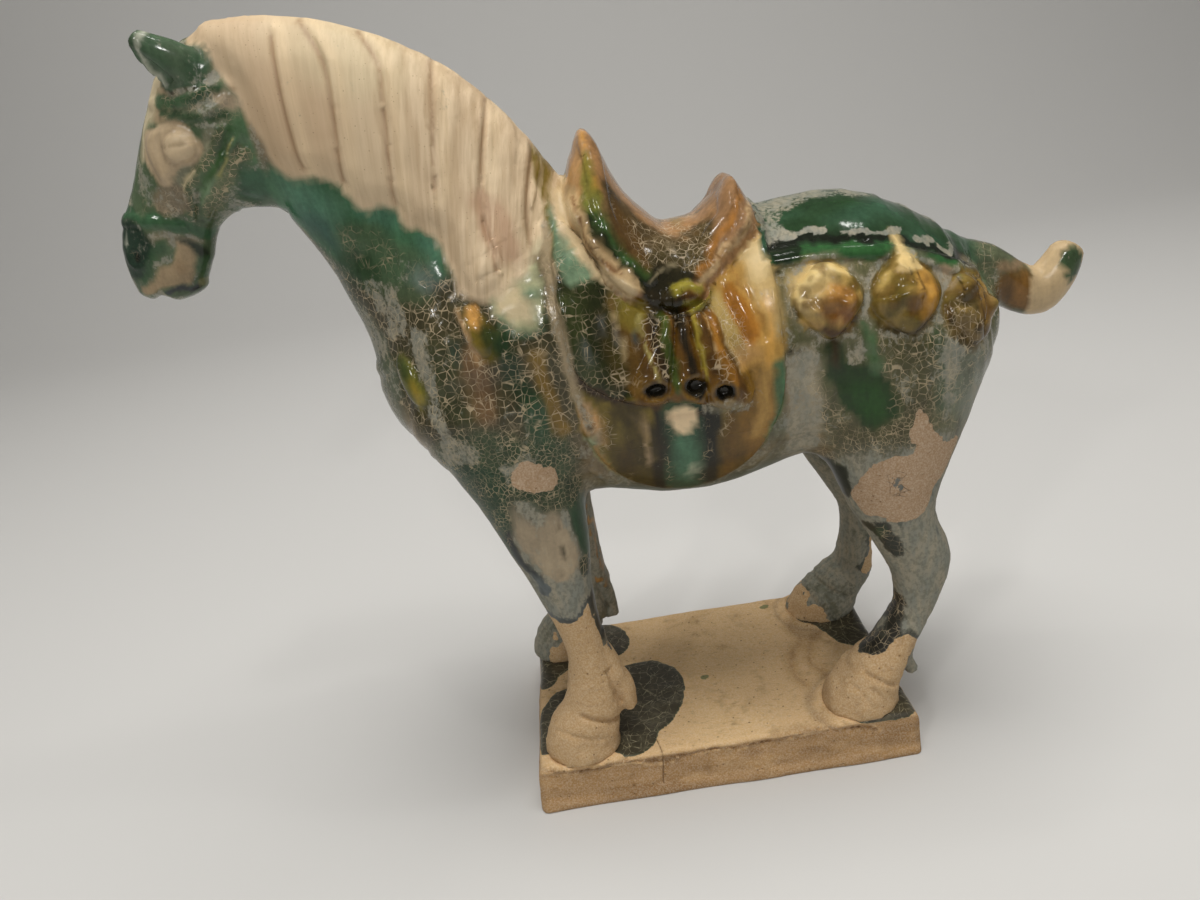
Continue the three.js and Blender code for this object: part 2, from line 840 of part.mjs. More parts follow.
function meshGeometry({ positions, triangles }) {
  const geometry = new THREE.BufferGeometry();
  geometry.setAttribute('position', new THREE.Float32BufferAttribute(positions.flat(), 3));
  geometry.setIndex(triangles.flat());
  geometry.computeVertexNormals();
  return geometry;
}

function makeHorse() {
  const lowest = new THREE.Vector3(-204, -58, slabThickness - 4);
  const box = new THREE.Box3(lowest, new THREE.Vector3(172, 58, 324));
  const fine = traceSurface(horseDistance, box, tracingCell);
  return meshGeometry(simplify(fine, horseTriangles));
}

// The slab: a rolled sheet of clay, cut by hand with sides that lean out and
// the top edge worn round. Rings of points climb its sides, and a fan closes
// the underside and the top.
function makeSlab() {
  const cornerSteps = 6;
  const sideSteps = 8;
  const ringAt = (z, inset) => {
    const spread = slabFlare * (1 - z / slabThickness) - inset;
    const [halfX, halfY] = [slabLength / 2 + spread, slabWidth / 2 + spread];
    const path = new THREE.Path();
    const [cx, cy] = [halfX - slabCorner, halfY - slabCorner];
    path.absarc(cx, cy, slabCorner, 0, Math.PI / 2);
    path.absarc(-cx, cy, slabCorner, Math.PI / 2, Math.PI);
    path.absarc(-cx, -cy, slabCorner, Math.PI, 1.5 * Math.PI);
    path.absarc(cx, -cy, slabCorner, 1.5 * Math.PI, 2 * Math.PI);
    path.closePath();
    const points = [];
    for (const curve of path.curves) {
      const steps = curve.isEllipseCurve ? cornerSteps : sideSteps;
      for (let step = 0; step < steps; step++) points.push(curve.getPoint(step / steps));
    }
    const handCut = (value) => slabWaviness * Math.sin(value / 11) * Math.cos(value / 23 + z / 9);
    return points.map(({ x, y }) => [x + handCut(y) * Math.sign(x), y + handCut(x) * Math.sign(y), z]);
  };
  const worn = slabWornEdge;
  const rings = [ringAt(0, 0.6), ringAt(0.8, 0)];
  rings.push(ringAt(slabThickness / 2, 0), ringAt(slabThickness - worn, 0));
  rings.push(ringAt(slabThickness - 0.35 * worn, 0.35 * worn), ringAt(slabThickness, worn));
  const count = rings[0].length;
  const positions = [...rings.flat(), [0, 0, 0], [0, 0, slabThickness]];
  const [bottom, top] = [positions.length - 2, positions.length - 1];
  const triangles = [];
  for (let i = 0; i < count; i++) {
    const next = (i + 1) % count;
    for (let ring = 0; ring < rings.length - 1; ring++) {
      const [a, b] = [ring * count + i, ring * count + next];
      triangles.push([a, b, b + count], [a, b + count, a + count]);
    }
    const lastRing = (rings.length - 1) * count;
    triangles.push([next, i, bottom], [lastRing + i, lastRing + next, top]);
  }
  return meshGeometry({ positions, triangles });
}

const figurine = new THREE.Group();

const glaze = new THREE.MeshStandardMaterial({ color: 0x5d6b4f, roughness: 0.25, metalness: 0 });
const horse = new THREE.Mesh(makeHorse(), glaze);
horse.name = 'horse';

const clay = new THREE.MeshStandardMaterial({ color: 0xc8a47c, roughness: 0.9, metalness: 0 });
const base = new THREE.Mesh(makeSlab(), clay);
base.name = 'base_slab';

figurine.add(horse, base);

export default figurine;
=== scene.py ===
import math

import bpy
import numpy as np
from mathutils import Matrix, Vector


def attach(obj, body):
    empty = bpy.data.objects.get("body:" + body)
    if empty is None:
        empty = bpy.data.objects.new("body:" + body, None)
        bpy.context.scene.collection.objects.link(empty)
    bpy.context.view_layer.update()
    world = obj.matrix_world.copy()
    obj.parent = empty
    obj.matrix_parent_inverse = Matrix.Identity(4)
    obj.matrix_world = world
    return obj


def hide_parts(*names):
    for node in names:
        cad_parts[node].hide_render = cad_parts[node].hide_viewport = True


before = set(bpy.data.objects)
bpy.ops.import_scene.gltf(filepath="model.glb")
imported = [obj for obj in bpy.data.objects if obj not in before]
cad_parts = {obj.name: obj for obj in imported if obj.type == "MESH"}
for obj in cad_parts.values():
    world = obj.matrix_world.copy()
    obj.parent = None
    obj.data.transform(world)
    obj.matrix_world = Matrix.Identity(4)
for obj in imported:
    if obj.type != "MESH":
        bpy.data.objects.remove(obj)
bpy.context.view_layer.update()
millimetre = 0.001

# The body of the horse
# Hollow buff earthenware, pressed in a two-part mould and finished by hand.
# Its trunk, neck, head, tail and legs are rounded forms that flow together.

# Each row is a section: centre x and z, half depth, half width
trunk_sections = [
    (-95, 178, 17, 21),
    (-80, 175, 37, 32),
    (-55, 178, 48, 38),
    (-25, 175, 50, 40),
    (5, 170.5, 51.5, 40.5),
    (40, 178, 50.5, 40),
    (72, 179, 50.5, 41),
    (100, 179, 36, 37),
    (115.5, 177, 15, 26),
]
neck_sections = [
    (-62, 200, 49, 36),
    (-73, 227, 46, 28),
    (-84, 250, 43, 22),
    (-100, 269, 39, 18),
    (-120, 283, 32.5, 15),
    (-144, 287.5, 29.5, 13),
]
head_sections = [
    (-148, 292, 19.5, 12),
    (-160, 274, 18.5, 13.5),
    (-171, 260, 15.5, 10.5),
    (-178, 248, 16, 9.5),
    (-180.5, 239, 14.5, 9),
    (-181, 233.5, 13, 8),
]
forelock_sections = [
    (-126, 303, 11.5, 9),
    (-139, 305.5, 9.6, 8),
    (-150, 306.5, 7, 6.5),
]
tail_sections = [
    (106, 198, 8, 9),
    (126, 193, 7.5, 7.5),
    (136, 183.5, 9, 7.5),
    (147, 178, 9, 7.5),
    (154.5, 184, 8.5, 7),
    (158.5, 191.5, 7, 5.5),
]

# The left legs, whose rows also give the y of the section's centre
foreleg_sections = [
    (-67, -20, 171, 33, 22),
    (-64, -26, 144, 21.5, 19),
    (-59, -30, 118, 16, 14.5),
    (-55.5, -32, 92, 10.5, 11.5),
    (-52, -33, 68, 8.3, 9),
    (-51.5, -34, 50, 11, 10.5),
    (-54, -35, 38, 12.5, 12),
    (-59.5, -36, 26, 15.5, 14),
    (-60.5, -36.5, 12, 17, 15.5),
]
hind_leg_sections = [
    (89, -18, 172, 29, 24),
    (81, -24, 147, 28, 20),
    (78, -28, 122, 21, 16),
    (81, -30, 102, 14, 12),
    (88, -31, 83, 12.5, 10.5),
    (85, -32, 63, 8, 8.5),
    (78.5, -33, 52, 8, 9.5),
    (73.5, -34, 43, 9.5, 10.5),
    (67, -34.5, 35, 12, 12.5),
    (61.5, -35, 24, 15.5, 14.5),
    (60, -36, 12, 17.5, 15),
]
# How far each section of a right leg stands back from its twin on the left
foreleg_stagger = (0, 1, 2, 4, 3, 0, -3, -5, -6)
hind_leg_stagger = (0, -1, -4, -3.5, -2.5, -3, 1.5, 5.5, 5.5, 3.5, 1.5)

# A tuft hangs behind each fetlock: x, y, z and radius
left_tufts = [
    [(-44, -34, 64, 2), (-39.5, -34, 47, 4.3), (-38, -34.5, 37.5, 3.2)],
    [(80, -33, 47, 3.5), (81.5, -33, 38, 3.2), (83.5, -33.5, 31, 3)],
]
right_tufts = [
    [(-42, 34, 60, 3), (-41.5, 34, 47, 3.5), (-41, 34.5, 38, 3)],
    [(85, 33, 60, 3), (85.5, 33, 49, 3.4), (84, 33.5, 40, 2.6)],
]
slab_top = 20.5


def join(a, b, reach):
    """The smaller of two distances, with a fillet of about this reach between them"""
    overlap = np.maximum(reach - np.abs(a - b), 0) / reach
    return np.minimum(a, b) - overlap * overlap * reach / 4


def cut(a, b, reach):
    """The larger of two distances, which cuts one form with another"""
    return -join(-a, -b, reach)


def smooth_rows(rows, steps):
    """Adds rows between the given ones along a Catmull-Rom spline"""
    rows = np.asarray(rows, float)
    last = len(rows) - 1
    smoothed = []
    for i in range(last):
        a, b = rows[max(i - 1, 0)], rows[i]
        c, d = rows[i + 1], rows[min(i + 2, last)]
        for t in np.arange(steps) / steps:
            bend = (c - a) * t + (2 * a - 5 * b + 4 * c - d) * t**2
            smoothed.append(b + 0.5 * (bend + (3 * b - a - 3 * c + d) * t**3))
    return np.array([*smoothed, rows[last]])


class Threaded:
    """Elliptical sections threaded on a smooth spine, as a distance to their skin"""

    far_away = 26
    inner_cap = 0.3

    def __init__(self, rows, steps=3, start_cap=0.8, end_cap=None):
        rows = smooth_rows(rows, steps)
        self.caps = (start_cap, end_cap or start_cap)
        self.centres, self.radii = rows[:, :3], rows[:, 3:]
        last = len(rows) - 1
        self.frames = []
        for i, centre in enumerate(self.centres):
            along = self.centres[min(i + 1, last)] - self.centres[max(i - 1, 0)]
            along /= np.linalg.norm(along)
            wide = np.array([0, 1, 0]) - along * along[1]
            wide /= np.linalg.norm(wide)
            self.frames.append((centre, along, np.cross(along, wide), wide))
        reach = self.radii.max()
        self.low, self.high = self.centres.min(0) - reach, self.centres.max(0) + reach

    def __call__(self, points):
        beyond = np.maximum(np.maximum(self.low - points, points - self.high), 0)
        distance = np.linalg.norm(beyond, axis=1)
        near = distance <= self.far_away
        if near.any():
            distance[near] = self.near_distance(points[near])
        return distance

    def near_distance(self, points):
        best = np.full(len(points), np.inf)
        last = len(self.frames) - 1
        for i in range(last):
            c0, along0, deep0, wide0 = self.frames[i]
            c1, along1, deep1, wide1 = self.frames[i + 1]
            past = (points - c0) @ along0
            room = past - (points - c1) @ along1
            room_left = np.where(room > 1e-6, room, 1)
            t = np.where(room > 1e-6, np.clip(past / room_left, 0, 1), past > 0)
            across = points - c0 - t[:, None] * (c1 - c0)
            u = across @ deep0 * (1 - t) + across @ deep1 * t
            v = across @ wide0 * (1 - t) + across @ wide1 * t
            w = np.where(t <= 0, past, np.where(t >= 1, past - room, 0))
            a = self.radii[i, 0] * (1 - t) + self.radii[i + 1, 0] * t
            b = self.radii[i, 1] * (1 - t) + self.radii[i + 1, 1] * t
            start = self.caps[0] if i == 0 else self.inner_cap
            end = self.caps[1] if i == last - 1 else self.inner_cap
            c = np.minimum(a, b) * np.where(t < 0.5, start, end)
            size = np.sqrt((u / a) ** 2 + (v / b) ** 2 + (w / c) ** 2)
            slope = np.sqrt((u / a**2) ** 2 + (v / b**2) ** 2 + (w / c**2) ** 2) + 1e-9
            best = np.minimum(best, size * (size - 1) / slope)
        return best


def on_axis(rows):
    """Sections in the plane of symmetry, given without their y"""
    return [(x, 0, z, a, b) for x, z, a, b in rows]


def right_hand(rows, stagger=None):
    """The same leg or ear on the right side, each section moved along x"""
    moves = stagger or [0] * len(rows)
    return [(row[0] + move, -row[1], *row[2:]) for row, move in zip(rows, moves)]


trunk = Threaded(on_axis(trunk_sections))
neck = Threaded(on_axis(neck_sections), start_cap=0.6)
head = Threaded(on_axis(head_sections), start_cap=0.7)
forelock = Threaded(on_axis(forelock_sections), start_cap=0.8)
tail = Threaded(on_axis(tail_sections), start_cap=0.9)
forelegs = [
    Threaded(rows, start_cap=0.5)
    for rows in (foreleg_sections, right_hand(foreleg_sections, foreleg_stagger))
]
hind_legs = [
    Threaded(rows, start_cap=0.5)
    for rows in (hind_leg_sections, right_hand(hind_leg_sections, hind_leg_stagger))
]
tufts = [
    Threaded([(x, y, z, r, r) for x, y, z, r in rows])
    for rows in left_tufts + right_tufts
]


def bare_animal(points):
    """Distance to the skin of the animal without saddle, hair or ears"""
    distance = join(trunk(points), neck(points), 24)
    distance = join(distance, head(points), 9)
    distance = join(distance, forelock(points), 5)
    distance = join(distance, tail(points), 8)
    for forms, reach in ((forelegs, 12), (hind_legs, 14), (tufts, 3)):
        for form in forms:
            distance = join(distance, form(points), reach)
    return distance


# Saddle tree and pad
# The tree is an arch of clay laid over the back with a high pommel and a
# lower cantle. The pad below it shows as a rounded rim.

# Crest of the tree and lower edge of its sides, as x and z
tree_crest = [
    (-34, 236),
    (-30.5, 247),
    (-27, 258),
    (-23, 265),
    (-19, 262),
    (-16, 254),
    (-11.5, 242),
    (-4, 231.5),
    (5, 224),
    (14, 226),
    (22, 234),
    (28, 241.5),
    (32, 237.5),
    (35, 227),
]
tree_lower_edge = [
    (-34, 250),
    (-26, 233),
    (-20, 221),
    (-11, 213),
    (0, 210),
    (10, 213),
    (20, 220),
    (29, 226),
    (40, 231),
]
tree_centre_height = 204
tree_half_width = 31
pad_width = 4
pad_thickness = 1.4
blanket_thickness = 2

crest_line = smooth_rows(tree_crest, 5).T
lower_line = smooth_rows(tree_lower_edge, 5).T
tree_ends = (tree_crest[0][0], tree_crest[-1][0])


def tree_distance(points):
    x, y, z = points.T
    rise = np.interp(x, *crest_line) - tree_centre_height
    u, v = (z - tree_centre_height) / rise, y / tree_half_width
    size = np.hypot(u, v)
    slope = np.hypot(u / rise, v / tree_half_width) + 1e-9
    arch = 0.6 * size * (size - 1) / slope
    below = 0.8 * (np.interp(x, *lower_line) - z)
    ends = np.maximum(tree_ends[0] - x, x - tree_ends[1])
    return cut(cut(arch, below, 2), ends, 2)


def pad_distance(points, skin):
    x, _, z = points.T
    below = 0.8 * (np.interp(x, *lower_line) - pad_width - z)
    above = z - np.interp(x, *crest_line)
    ends = np.maximum(tree_ends[0] + 5 - x, x - tree_ends[1] + 2)
    edge = np.maximum(np.maximum(below, above), ends)
    return cut(skin - pad_thickness - blanket_thickness, edge, 2.5)


# Ears and mouth
# The ears are pinched out of small lumps of clay and hollowed in front. The
# mouth is a notch pressed into the muzzle.

ear_sections = [
    (-147, -9, 300, 8.5, 4.5),
    (-152.5, -10.5, 305.5, 7.5, 4.5),
    (-158, -12, 310.5, 5.8, 3.8),
    (-161.5, -13, 315, 3.2, 2.2),
]
ear_hollow = [
    (-155.5, -13.5, 301, 2.2, 2.6),
    (-160.5, -15, 307, 2.4, 2.4),
    (-164.5, -15.5, 312, 1.6, 1.4),
]
mouth_corner = (-185, 227.5)
mouth_radius = 3.6
# The right ear was set a little lower and further forward than the left
right_ear_move = (-3.5, -6.5)



def right_ear(rows):
    forward, lower = right_ear_move
    return [(x + forward, -y, z + lower, a, b) for x, y, z, a, b in rows]


ears = [Threaded(rows, start_cap=0.6) for rows in (ear_sections, right_ear(ear_sections))]
ear_hollows = [Threaded(rows) for rows in (ear_hollow, right_ear(ear_hollow))]
sunk_in_slab = 0.4


def plain_horse(points):
    """Distance to the horse without its low relief"""
    x, _, z = points.T
    skin = bare_animal(points)
    distance = join(skin, pad_distance(points, skin), 7)
    distance = join(distance, tree_distance(points), 6)
    for ear in ears:
        distance = join(distance, ear(points), 3)
    for hollow in ear_hollows:
        distance = cut(distance, -hollow(points), 1)
    to_mouth = np.hypot(x - mouth_corner[0], z - mouth_corner[1])
    distance = cut(distance, mouth_radius - to_mouth, 2)
    return np.maximum(distance, slab_top - sunk_in_slab - z)


def slopes(form, points, step=0.05):
    """Distance of each point to the form and the direction in which it grows"""
    here = form(points)
    growth = np.empty_like(points)
    for axis in range(3):
        moved = points.copy()
        moved[:, axis] += step
        growth[:, axis] = (form(moved) - here) / step
    return here, growth


def settle(form, points, rounds=2):
    """Moves points onto the surface where form is zero"""
    for _ in range(rounds):
        here, growth = slopes(form, points)
        steepness = np.maximum((growth**2).sum(1), 0.2)
        step = np.clip(here / steepness, -1, 1)
        points = points - growth * step[:, None]
    return points


def trace_surface(form, low, high, cell):
    """Points and triangles of the surface where form is zero: one point in each
    cube of a grid that the surface crosses"""
    block = 4
    low = np.asarray(low, float)
    blocks = np.ceil((np.asarray(high) - low) / (block * cell)).astype(int)
    shape = blocks * block + 1
    corners = np.stack(np.meshgrid(*[np.arange(n + 1) for n in blocks], indexing="ij"), -1)
    coarse = form(low + corners.reshape(-1, 3) * block * cell).reshape(corners.shape[:3])
    steps = [slice(None, -1), slice(1, None)]
    around = np.stack([coarse[a, b, c] for a in steps for b in steps for c in steps])
    reach = block * cell
    near = np.argwhere((around.min(0) < reach) & (around.max(0) > -reach))

    values = np.where(around.min(0) > 0, 1e3, -1e3)
    for axis in range(3):
        values = np.repeat(values, block, axis)
    values = np.pad(values, ((0, 1),) * 3, constant_values=1e3)
    inner = np.stack(np.meshgrid(*[np.arange(block + 1)] * 3, indexing="ij"), -1)
    places = (near[:, None] * block + inner.reshape(1, -1, 3)).reshape(-1, 3)
    index = np.unique(np.ravel_multi_index(places.T, shape))
    places = np.stack(np.unravel_index(index, shape), -1)
    values.reshape(-1)[index] = form(low + places * cell)

    inside = values < 0
    count = sum(inside[a, b, c].astype(int) for a in steps for b in steps for c in steps)
    crossed = (count > 0) & (count < 8)
    cubes = np.argwhere(crossed)
    number = np.full(crossed.shape, -1)
    number[crossed] = np.arange(len(cubes))
    total, crossings = np.zeros((len(cubes), 3)), np.zeros(len(cubes))
    faces = []
    for axis in range(3):
        b, c = (axis + 1) % 3, (axis + 2) % 3
        for at_b in (0, 1):
            for at_c in (0, 1):
                start = cubes.copy()
                start[:, b] += at_b
                start[:, c] += at_c
                end = start.copy()
                end[:, axis] += 1
                v0, v1 = values[tuple(start.T)], values[tuple(end.T)]
                changes = (v0 < 0) != (v1 < 0)
                place = (start - cubes).astype(float)
                place[:, axis] = np.where(changes, v0 / np.where(changes, v0 - v1, 1), 0)
                total[changes] += place[changes]
                crossings[changes] += 1
        before = [slice(None)] * 3
        after = [slice(None)] * 3
        before[axis], after[axis] = slice(None, -1), slice(1, None)
        edges = np.argwhere(inside[tuple(before)] != inside[tuple(after)])
        leaving = inside[tuple(edges.T)]
        ring = []
        for back_b, back_c in ((1, 1), (0, 1), (0, 0), (1, 0)):
            cube = edges.copy()
            cube[:, b] -= back_b
            cube[:, c] -= back_c
            ring.append(number[tuple(cube.T)])
        ring = np.stack(ring, -1)
        ring[~leaving] = ring[~leaving][:, ::-1]
        faces.append(ring)
    points = low + cell * (cubes + total / crossings[:, None])
    faces = np.concatenate(faces)
    first = np.linalg.norm(points[faces[:, 0]] - points[faces[:, 2]], axis=1)
    second = np.linalg.norm(points[faces[:, 1]] - points[faces[:, 3]], axis=1)
    turned = np.where((first < second)[:, None], faces, np.roll(faces, 1, axis=1))
    return points, np.concatenate([turned[:, [0, 1, 2]], turned[:, [0, 2, 3]]])


def split_where(points, triangles, wanted):
    """Splits each wanted triangle in four, and its neighbours to match"""
    size = len(points)
    ends = np.sort(triangles[:, [[0, 1], [1, 2], [2, 0]]], axis=2)
    edges = ends[..., 0] * size + ends[..., 1]
    split = np.unique(edges[wanted])
    for _ in range(2):
        marked = np.isin(edges, split)
        split = np.union1d(split, edges[marked.sum(1) == 2])
    marked = np.isin(edges, split)
    middle = size + np.searchsorted(split, edges)
    points = np.concatenate([points, (points[split // size] + points[split % size]) / 2])
    whole = marked.all(1)
    a, b, c = triangles[whole].T
    ab, bc, ca = middle[whole].T
    parts = [triangles[~marked.any(1)]]
    parts += [np.stack(p, 1) for p in ((a, ab, ca), (ab, b, bc), (ca, bc, c), (ab, bc, ca))]
    for k in range(3):
        others = marked[:, (k + 1) % 3] | marked[:, (k + 2) % 3]
        one = marked[:, k] & ~others
        a, b, c = np.roll(triangles[one], -k, axis=1).T
        m = middle[one, k]
        parts += [np.stack((a, m, c), 1), np.stack((m, b, c), 1)]
    for k in range(3):
        two = marked[:, k] & marked[:, (k + 1) % 3] & ~marked[:, (k + 2) % 3]
        a, b, c = np.roll(triangles[two], -k, axis=1).T
        m, n = middle[two, k], middle[two, (k + 1) % 3]
        parts += [np.stack(p, 1) for p in ((m, b, n), (a, m, n), (a, n, c))]
    return points, np.concatenate(parts)


# Low relief of the horse
# Mane, saddle cloths, straps, bosses and the features of the face were worked
# in the clay by hand. Each is a height in millimetres over the plain skin.


def raised(edge, height, slope):
    """A height that climbs from nothing at an edge to its full value inside"""
    t = np.clip(-edge / slope, 0, 1)
    return height * t * t * (3 - 2 * t)


def dome(share, height):
    """A dome by the distance from its centre, as a share of its radius"""
    return height * np.sqrt(np.maximum(0, 1 - share * share))


def to_line(points, places, steps=4):
    """Distance in the side view to a smooth line through places, and on which
    side of it each point lies: positive towards the tail of a falling line"""
    line = smooth_rows(places, steps)
    best, side = np.full(len(points), np.inf), np.zeros(len(points))
    x, z = points[:, 0], points[:, 2]
    for (x0, z0), (x1, z1) in zip(line, line[1:]):
        dx, dz = x1 - x0, z1 - z0
        t = np.clip(((x - x0) * dx + (z - z0) * dz) / (dx * dx + dz * dz), 0, 1)
        away = np.hypot(x - x0 - t * dx, z - z0 - t * dz)
        nearer = away < best
        best[nearer] = away[nearer]
        side[nearer] = np.sign((z - z0) * dx - (x - x0) * dz)[nearer]
    return best, side


def to_outline(points, places):
    """Distance in the side view to a smooth closed outline, negative inside it"""
    wrapped = [places[-1], *places, places[0], places[1]]
    line = smooth_rows(wrapped, 3)[3 : 3 * (len(places) + 1) + 1]
    away, _ = to_line(points, line, 1)
    x, z = points[:, 0], points[:, 2]
    inside = np.zeros(len(points), bool)
    for (x0, z0), (x1, z1) in zip(line, line[1:]):
        spans = (z0 > z) != (z1 > z)
        rise = z1 - z0 if z1 != z0 else 1
        inside ^= spans & (x < x0 + (z - z0) * (x1 - x0) / rise)
    return np.where(inside, -away, away)


def to_spot(points, x0, z0, half_x, half_z, lean=0):
    """Distance in the side view to an oval, negative inside it"""
    dx, dz = points[:, 0] - x0, points[:, 2] - z0
    across = dx * math.cos(lean) + dz * math.sin(lean)
    along = dz * math.cos(lean) - dx * math.sin(lean)
    return (np.hypot(across / half_x, along / half_z) - 1) * min(half_x, half_z)


rough = np.random.default_rng(11).uniform(-1, 1, (32, 32, 32))


def waver(points, size):
    """Random values from -1 to 1 that change smoothly over this distance"""
    cell = points / np.asarray(size, float)
    base = np.floor(cell).astype(int)
    t = cell - base
    t = t * t * (3 - 2 * t)
    value = 0
    for corner in np.ndindex(2, 2, 2):
        weight = np.prod(np.where(corner, t, 1 - t), axis=1)
        value = value + weight * rough[tuple(((base + corner) % 32).T)]
    return value


mane_outline = [
    (-154, 318),
    (-148.5, 311.5),
    (-140.5, 304),
    (-135, 294.5),
    (-132, 282),
    (-129, 269.5),
    (-122, 265.5),
    (-113, 263),
    (-107, 259),
    (-101, 252),
    (-91, 250),
    (-87, 243.5),
    (-79, 240),
    (-76, 232),
    (-73, 221),
    (-66, 216.5),
    (-58, 219),
    (-47, 226),
    (-41, 238),
    (-36, 250),
    (-34, 270),
    (-90, 330),
    (-158, 330),
]
mane_grooves = [
    [(-119, 309), (-119.5, 288), (-119, 268)],
    [(-110, 313), (-104, 300), (-103.5, 285), (-106, 262)],
    [(-92, 307), (-86.5, 296), (-87, 283), (-90, 252)],
    [(-70, 295), (-71, 283), (-75, 255)],
    [(-54, 280), (-59, 258), (-61, 243), (-59, 226)],
    [(-41, 262), (-46, 243), (-46, 226)],
]
mane_thickness = 3
groove_depth = 0.8
groove_width = 1.0
overlap_height = 0.8
overlap_reach = 4
parting_width = 12
crest_front = -119


def strand_place(points):
    """Across the strands, which lean more the nearer they are to the saddle"""
    x, z = points[:, 0], points[:, 2]
    lean = 0.26 * np.clip((x - crest_front) / 75, 0, 1)
    return x + lean * (280 - z)


def mane_height(points):
    side = np.abs(points[:, 1])
    fade = 9 + 4 * np.clip((points[:, 0] + 78) / 30, 0, 1)
    taper = np.clip((points[:, 0] + 156) / 26, 0, 1)
    body = raised(to_outline(points, mane_outline), mane_thickness, fade) * taper
    for places in mane_grooves:
        away, behind = to_line(points, places)
        body = body - groove_depth * np.exp(-((away / groove_width) ** 2)) * (body > 0)
        edge = np.clip(away / 1.2, 0, 1) * np.exp(-away / overlap_reach)
        body = body + overlap_height * edge * (behind > 0) * (body > 1)
    across = strand_place(points)
    strands = np.stack([across, points[:, 1] * 0, points[:, 2] * 0.08], 1)
    loose = np.clip((points[:, 0] + 96) / 26, 0.1, 1) * np.clip(body - 1, 0, 1)
    body = body + loose * (0.45 * waver(strands, 3) + 0.3 * waver(strands, 1.4))
    return np.maximum(body, 0) * np.clip(side / parting_width, 0, 1)


blanket_centre = (-2, 180)
blanket_half_length = 39
blanket_drop = 51
cloth_edge = 1.6
cover_thickness = 2.2
cover_outline = [
    (-37, 238),
    (-29, 229),
    (-17, 214),
    (0, 207),
    (11, 209),
    (17, 192),
    (25, 172),
    (16, 166),
    (0, 171),
    (-18, 173),
    (-32, 180),
    (-40, 192),
    (-41, 220),
]
knot_centre = (4, 207)
knot_size = (8.5, 5)
knot_height = 3.2
fan_centre = (3, 212)
fan_from, fan_to = -0.62, 0.47
fold_count = 3
fold_height = 3.2
fold_mouths = [(-11, 178.3, 4.4, 2.4), (3.3, 177.6, 3.8, 3), (13, 174.3, 3.1, 2.8)]
mouth_depth = 3
flap_grooves = [[(17, 212), (19, 202), (24, 190)], [(23, 214), (26, 203), (30, 190)]]
rim_ridges = [
    ([(-42, 236), (-42.5, 200), (-42, 165), (-38, 150), (-30, 137)], 2.6, 0.9),
    ([(37, 222), (37, 190), (36, 165), (33, 147), (24, 134)], 2.2, 0.5),
]


def blanket_edge(points):
    x, z = points[:, 0], points[:, 2]
    along = np.abs(x - blanket_centre[0])
    below = np.maximum(blanket_centre[1] - z, 0)
    share = np.hypot(along / blanket_half_length, below / blanket_drop)
    reach = np.where(below > 0, blanket_half_length, along / np.maximum(share, 1e-6))
    return (share - 1) * reach


def fan_place(points):
    """Angle round the knot and distance below it"""
    dx, dz = points[:, 0] - fan_centre[0], fan_centre[1] - points[:, 2]
    return np.arctan2(dx, dz), np.hypot(dx, dz)


def fold_height_at(points):
    """Round folds that fan out below the knot"""
    angle, below = fan_place(points)
    place = (angle - fan_from) / (fan_to - fan_from) * fold_count
    in_fan = (place > 0) & (place < fold_count) & (points[:, 2] < fan_centre[1])
    across = 2 * (place % 1) - 1
    return fold_height * np.sqrt(np.maximum(1 - across**2, 0)) * in_fan * np.clip((below - 7) / 9, 0, 1)


def cloth_height(points):
    x, z = points[:, 0], points[:, 2]
    cover = to_outline(points, cover_outline)
    thinned = np.clip((252 - z) / 30, 0, 1)
    height = raised(blanket_edge(points), blanket_thickness * thinned, cloth_edge)
    height = height + raised(cover, cover_thickness, cloth_edge) + raised(cover, 1, 2) * fold_height_at(points)
    for x0, z0, half_x, half_z in fold_mouths:
        mouth = to_spot(points, x0, z0, half_x, half_z)
        height = height - raised(mouth, mouth_depth, 1.6) + 0.8 * np.exp(-(((mouth - 1.3) / 1.1) ** 2))
    from_knot = np.hypot((x - knot_centre[0]) / knot_size[0], (z - knot_centre[1]) / knot_size[1])
    height = height + dome(from_knot, knot_height) * (1 + 0.12 * np.cos(1.1 * (x - z)))
    for places in flap_grooves:
        away, _ = to_line(points, places)
        height = height - 1.1 * np.exp(-((away / 1.8) ** 2))
    for places, width, rise in rim_ridges:
        away, _ = to_line(points, places)
        height = height + dome(away / width, rise)
    return np.maximum(height, 0)


saddle_ridges = [
    ([(-21.5, 266), (-20.7, 256), (-20.4, 247), (-20, 240), (-17, 231), (-12, 223), (-7, 216)], 3.4, 1.7),
    ([(27, 240), (24.4, 230), (18.6, 224.5), (12, 218), (7, 213)], 3, 1.6),
    ([(-31, 248), (-29.3, 234), (-24.5, 225), (-17.5, 216.5), (-10, 211)], 1.2, 0.5),
    ([(33, 231), (24, 222.5), (18, 217.5), (10, 212.5)], 1.2, 0.5),
]
saddle_hollows = [
    ([(-26, 244), (-23, 234), (-17.5, 225), (-11, 217)], 2.6, 1.2),
    ([(-13, 234), (-5, 224), (4, 218)], 7, 1.5),
    ([(28, 230), (20.5, 222.5), (12, 216)], 1.8, 0.8),
]


def saddle_height(points):
    """The ridges that run down from pommel and cantle to the knot"""
    x, z = points[:, 0], points[:, 2]
    height = np.zeros(len(points))
    for places, width, depth in saddle_hollows:
        away, _ = to_line(points, places)
        height = height - depth * np.exp(-((away / width) ** 2))
    for places, width, rise in saddle_ridges:
        away, _ = to_line(points, places)
        height = np.maximum(height, 0.4 * height + dome(away / width, rise))
    height = height * np.clip((np.abs(points[:, 1]) - 2) / 9, 0, 1)
    from_knot = np.hypot((x - knot_centre[0]) / knot_size[0], (z - knot_centre[1]) / knot_size[1])
    return np.maximum(height, dome(from_knot, knot_height))


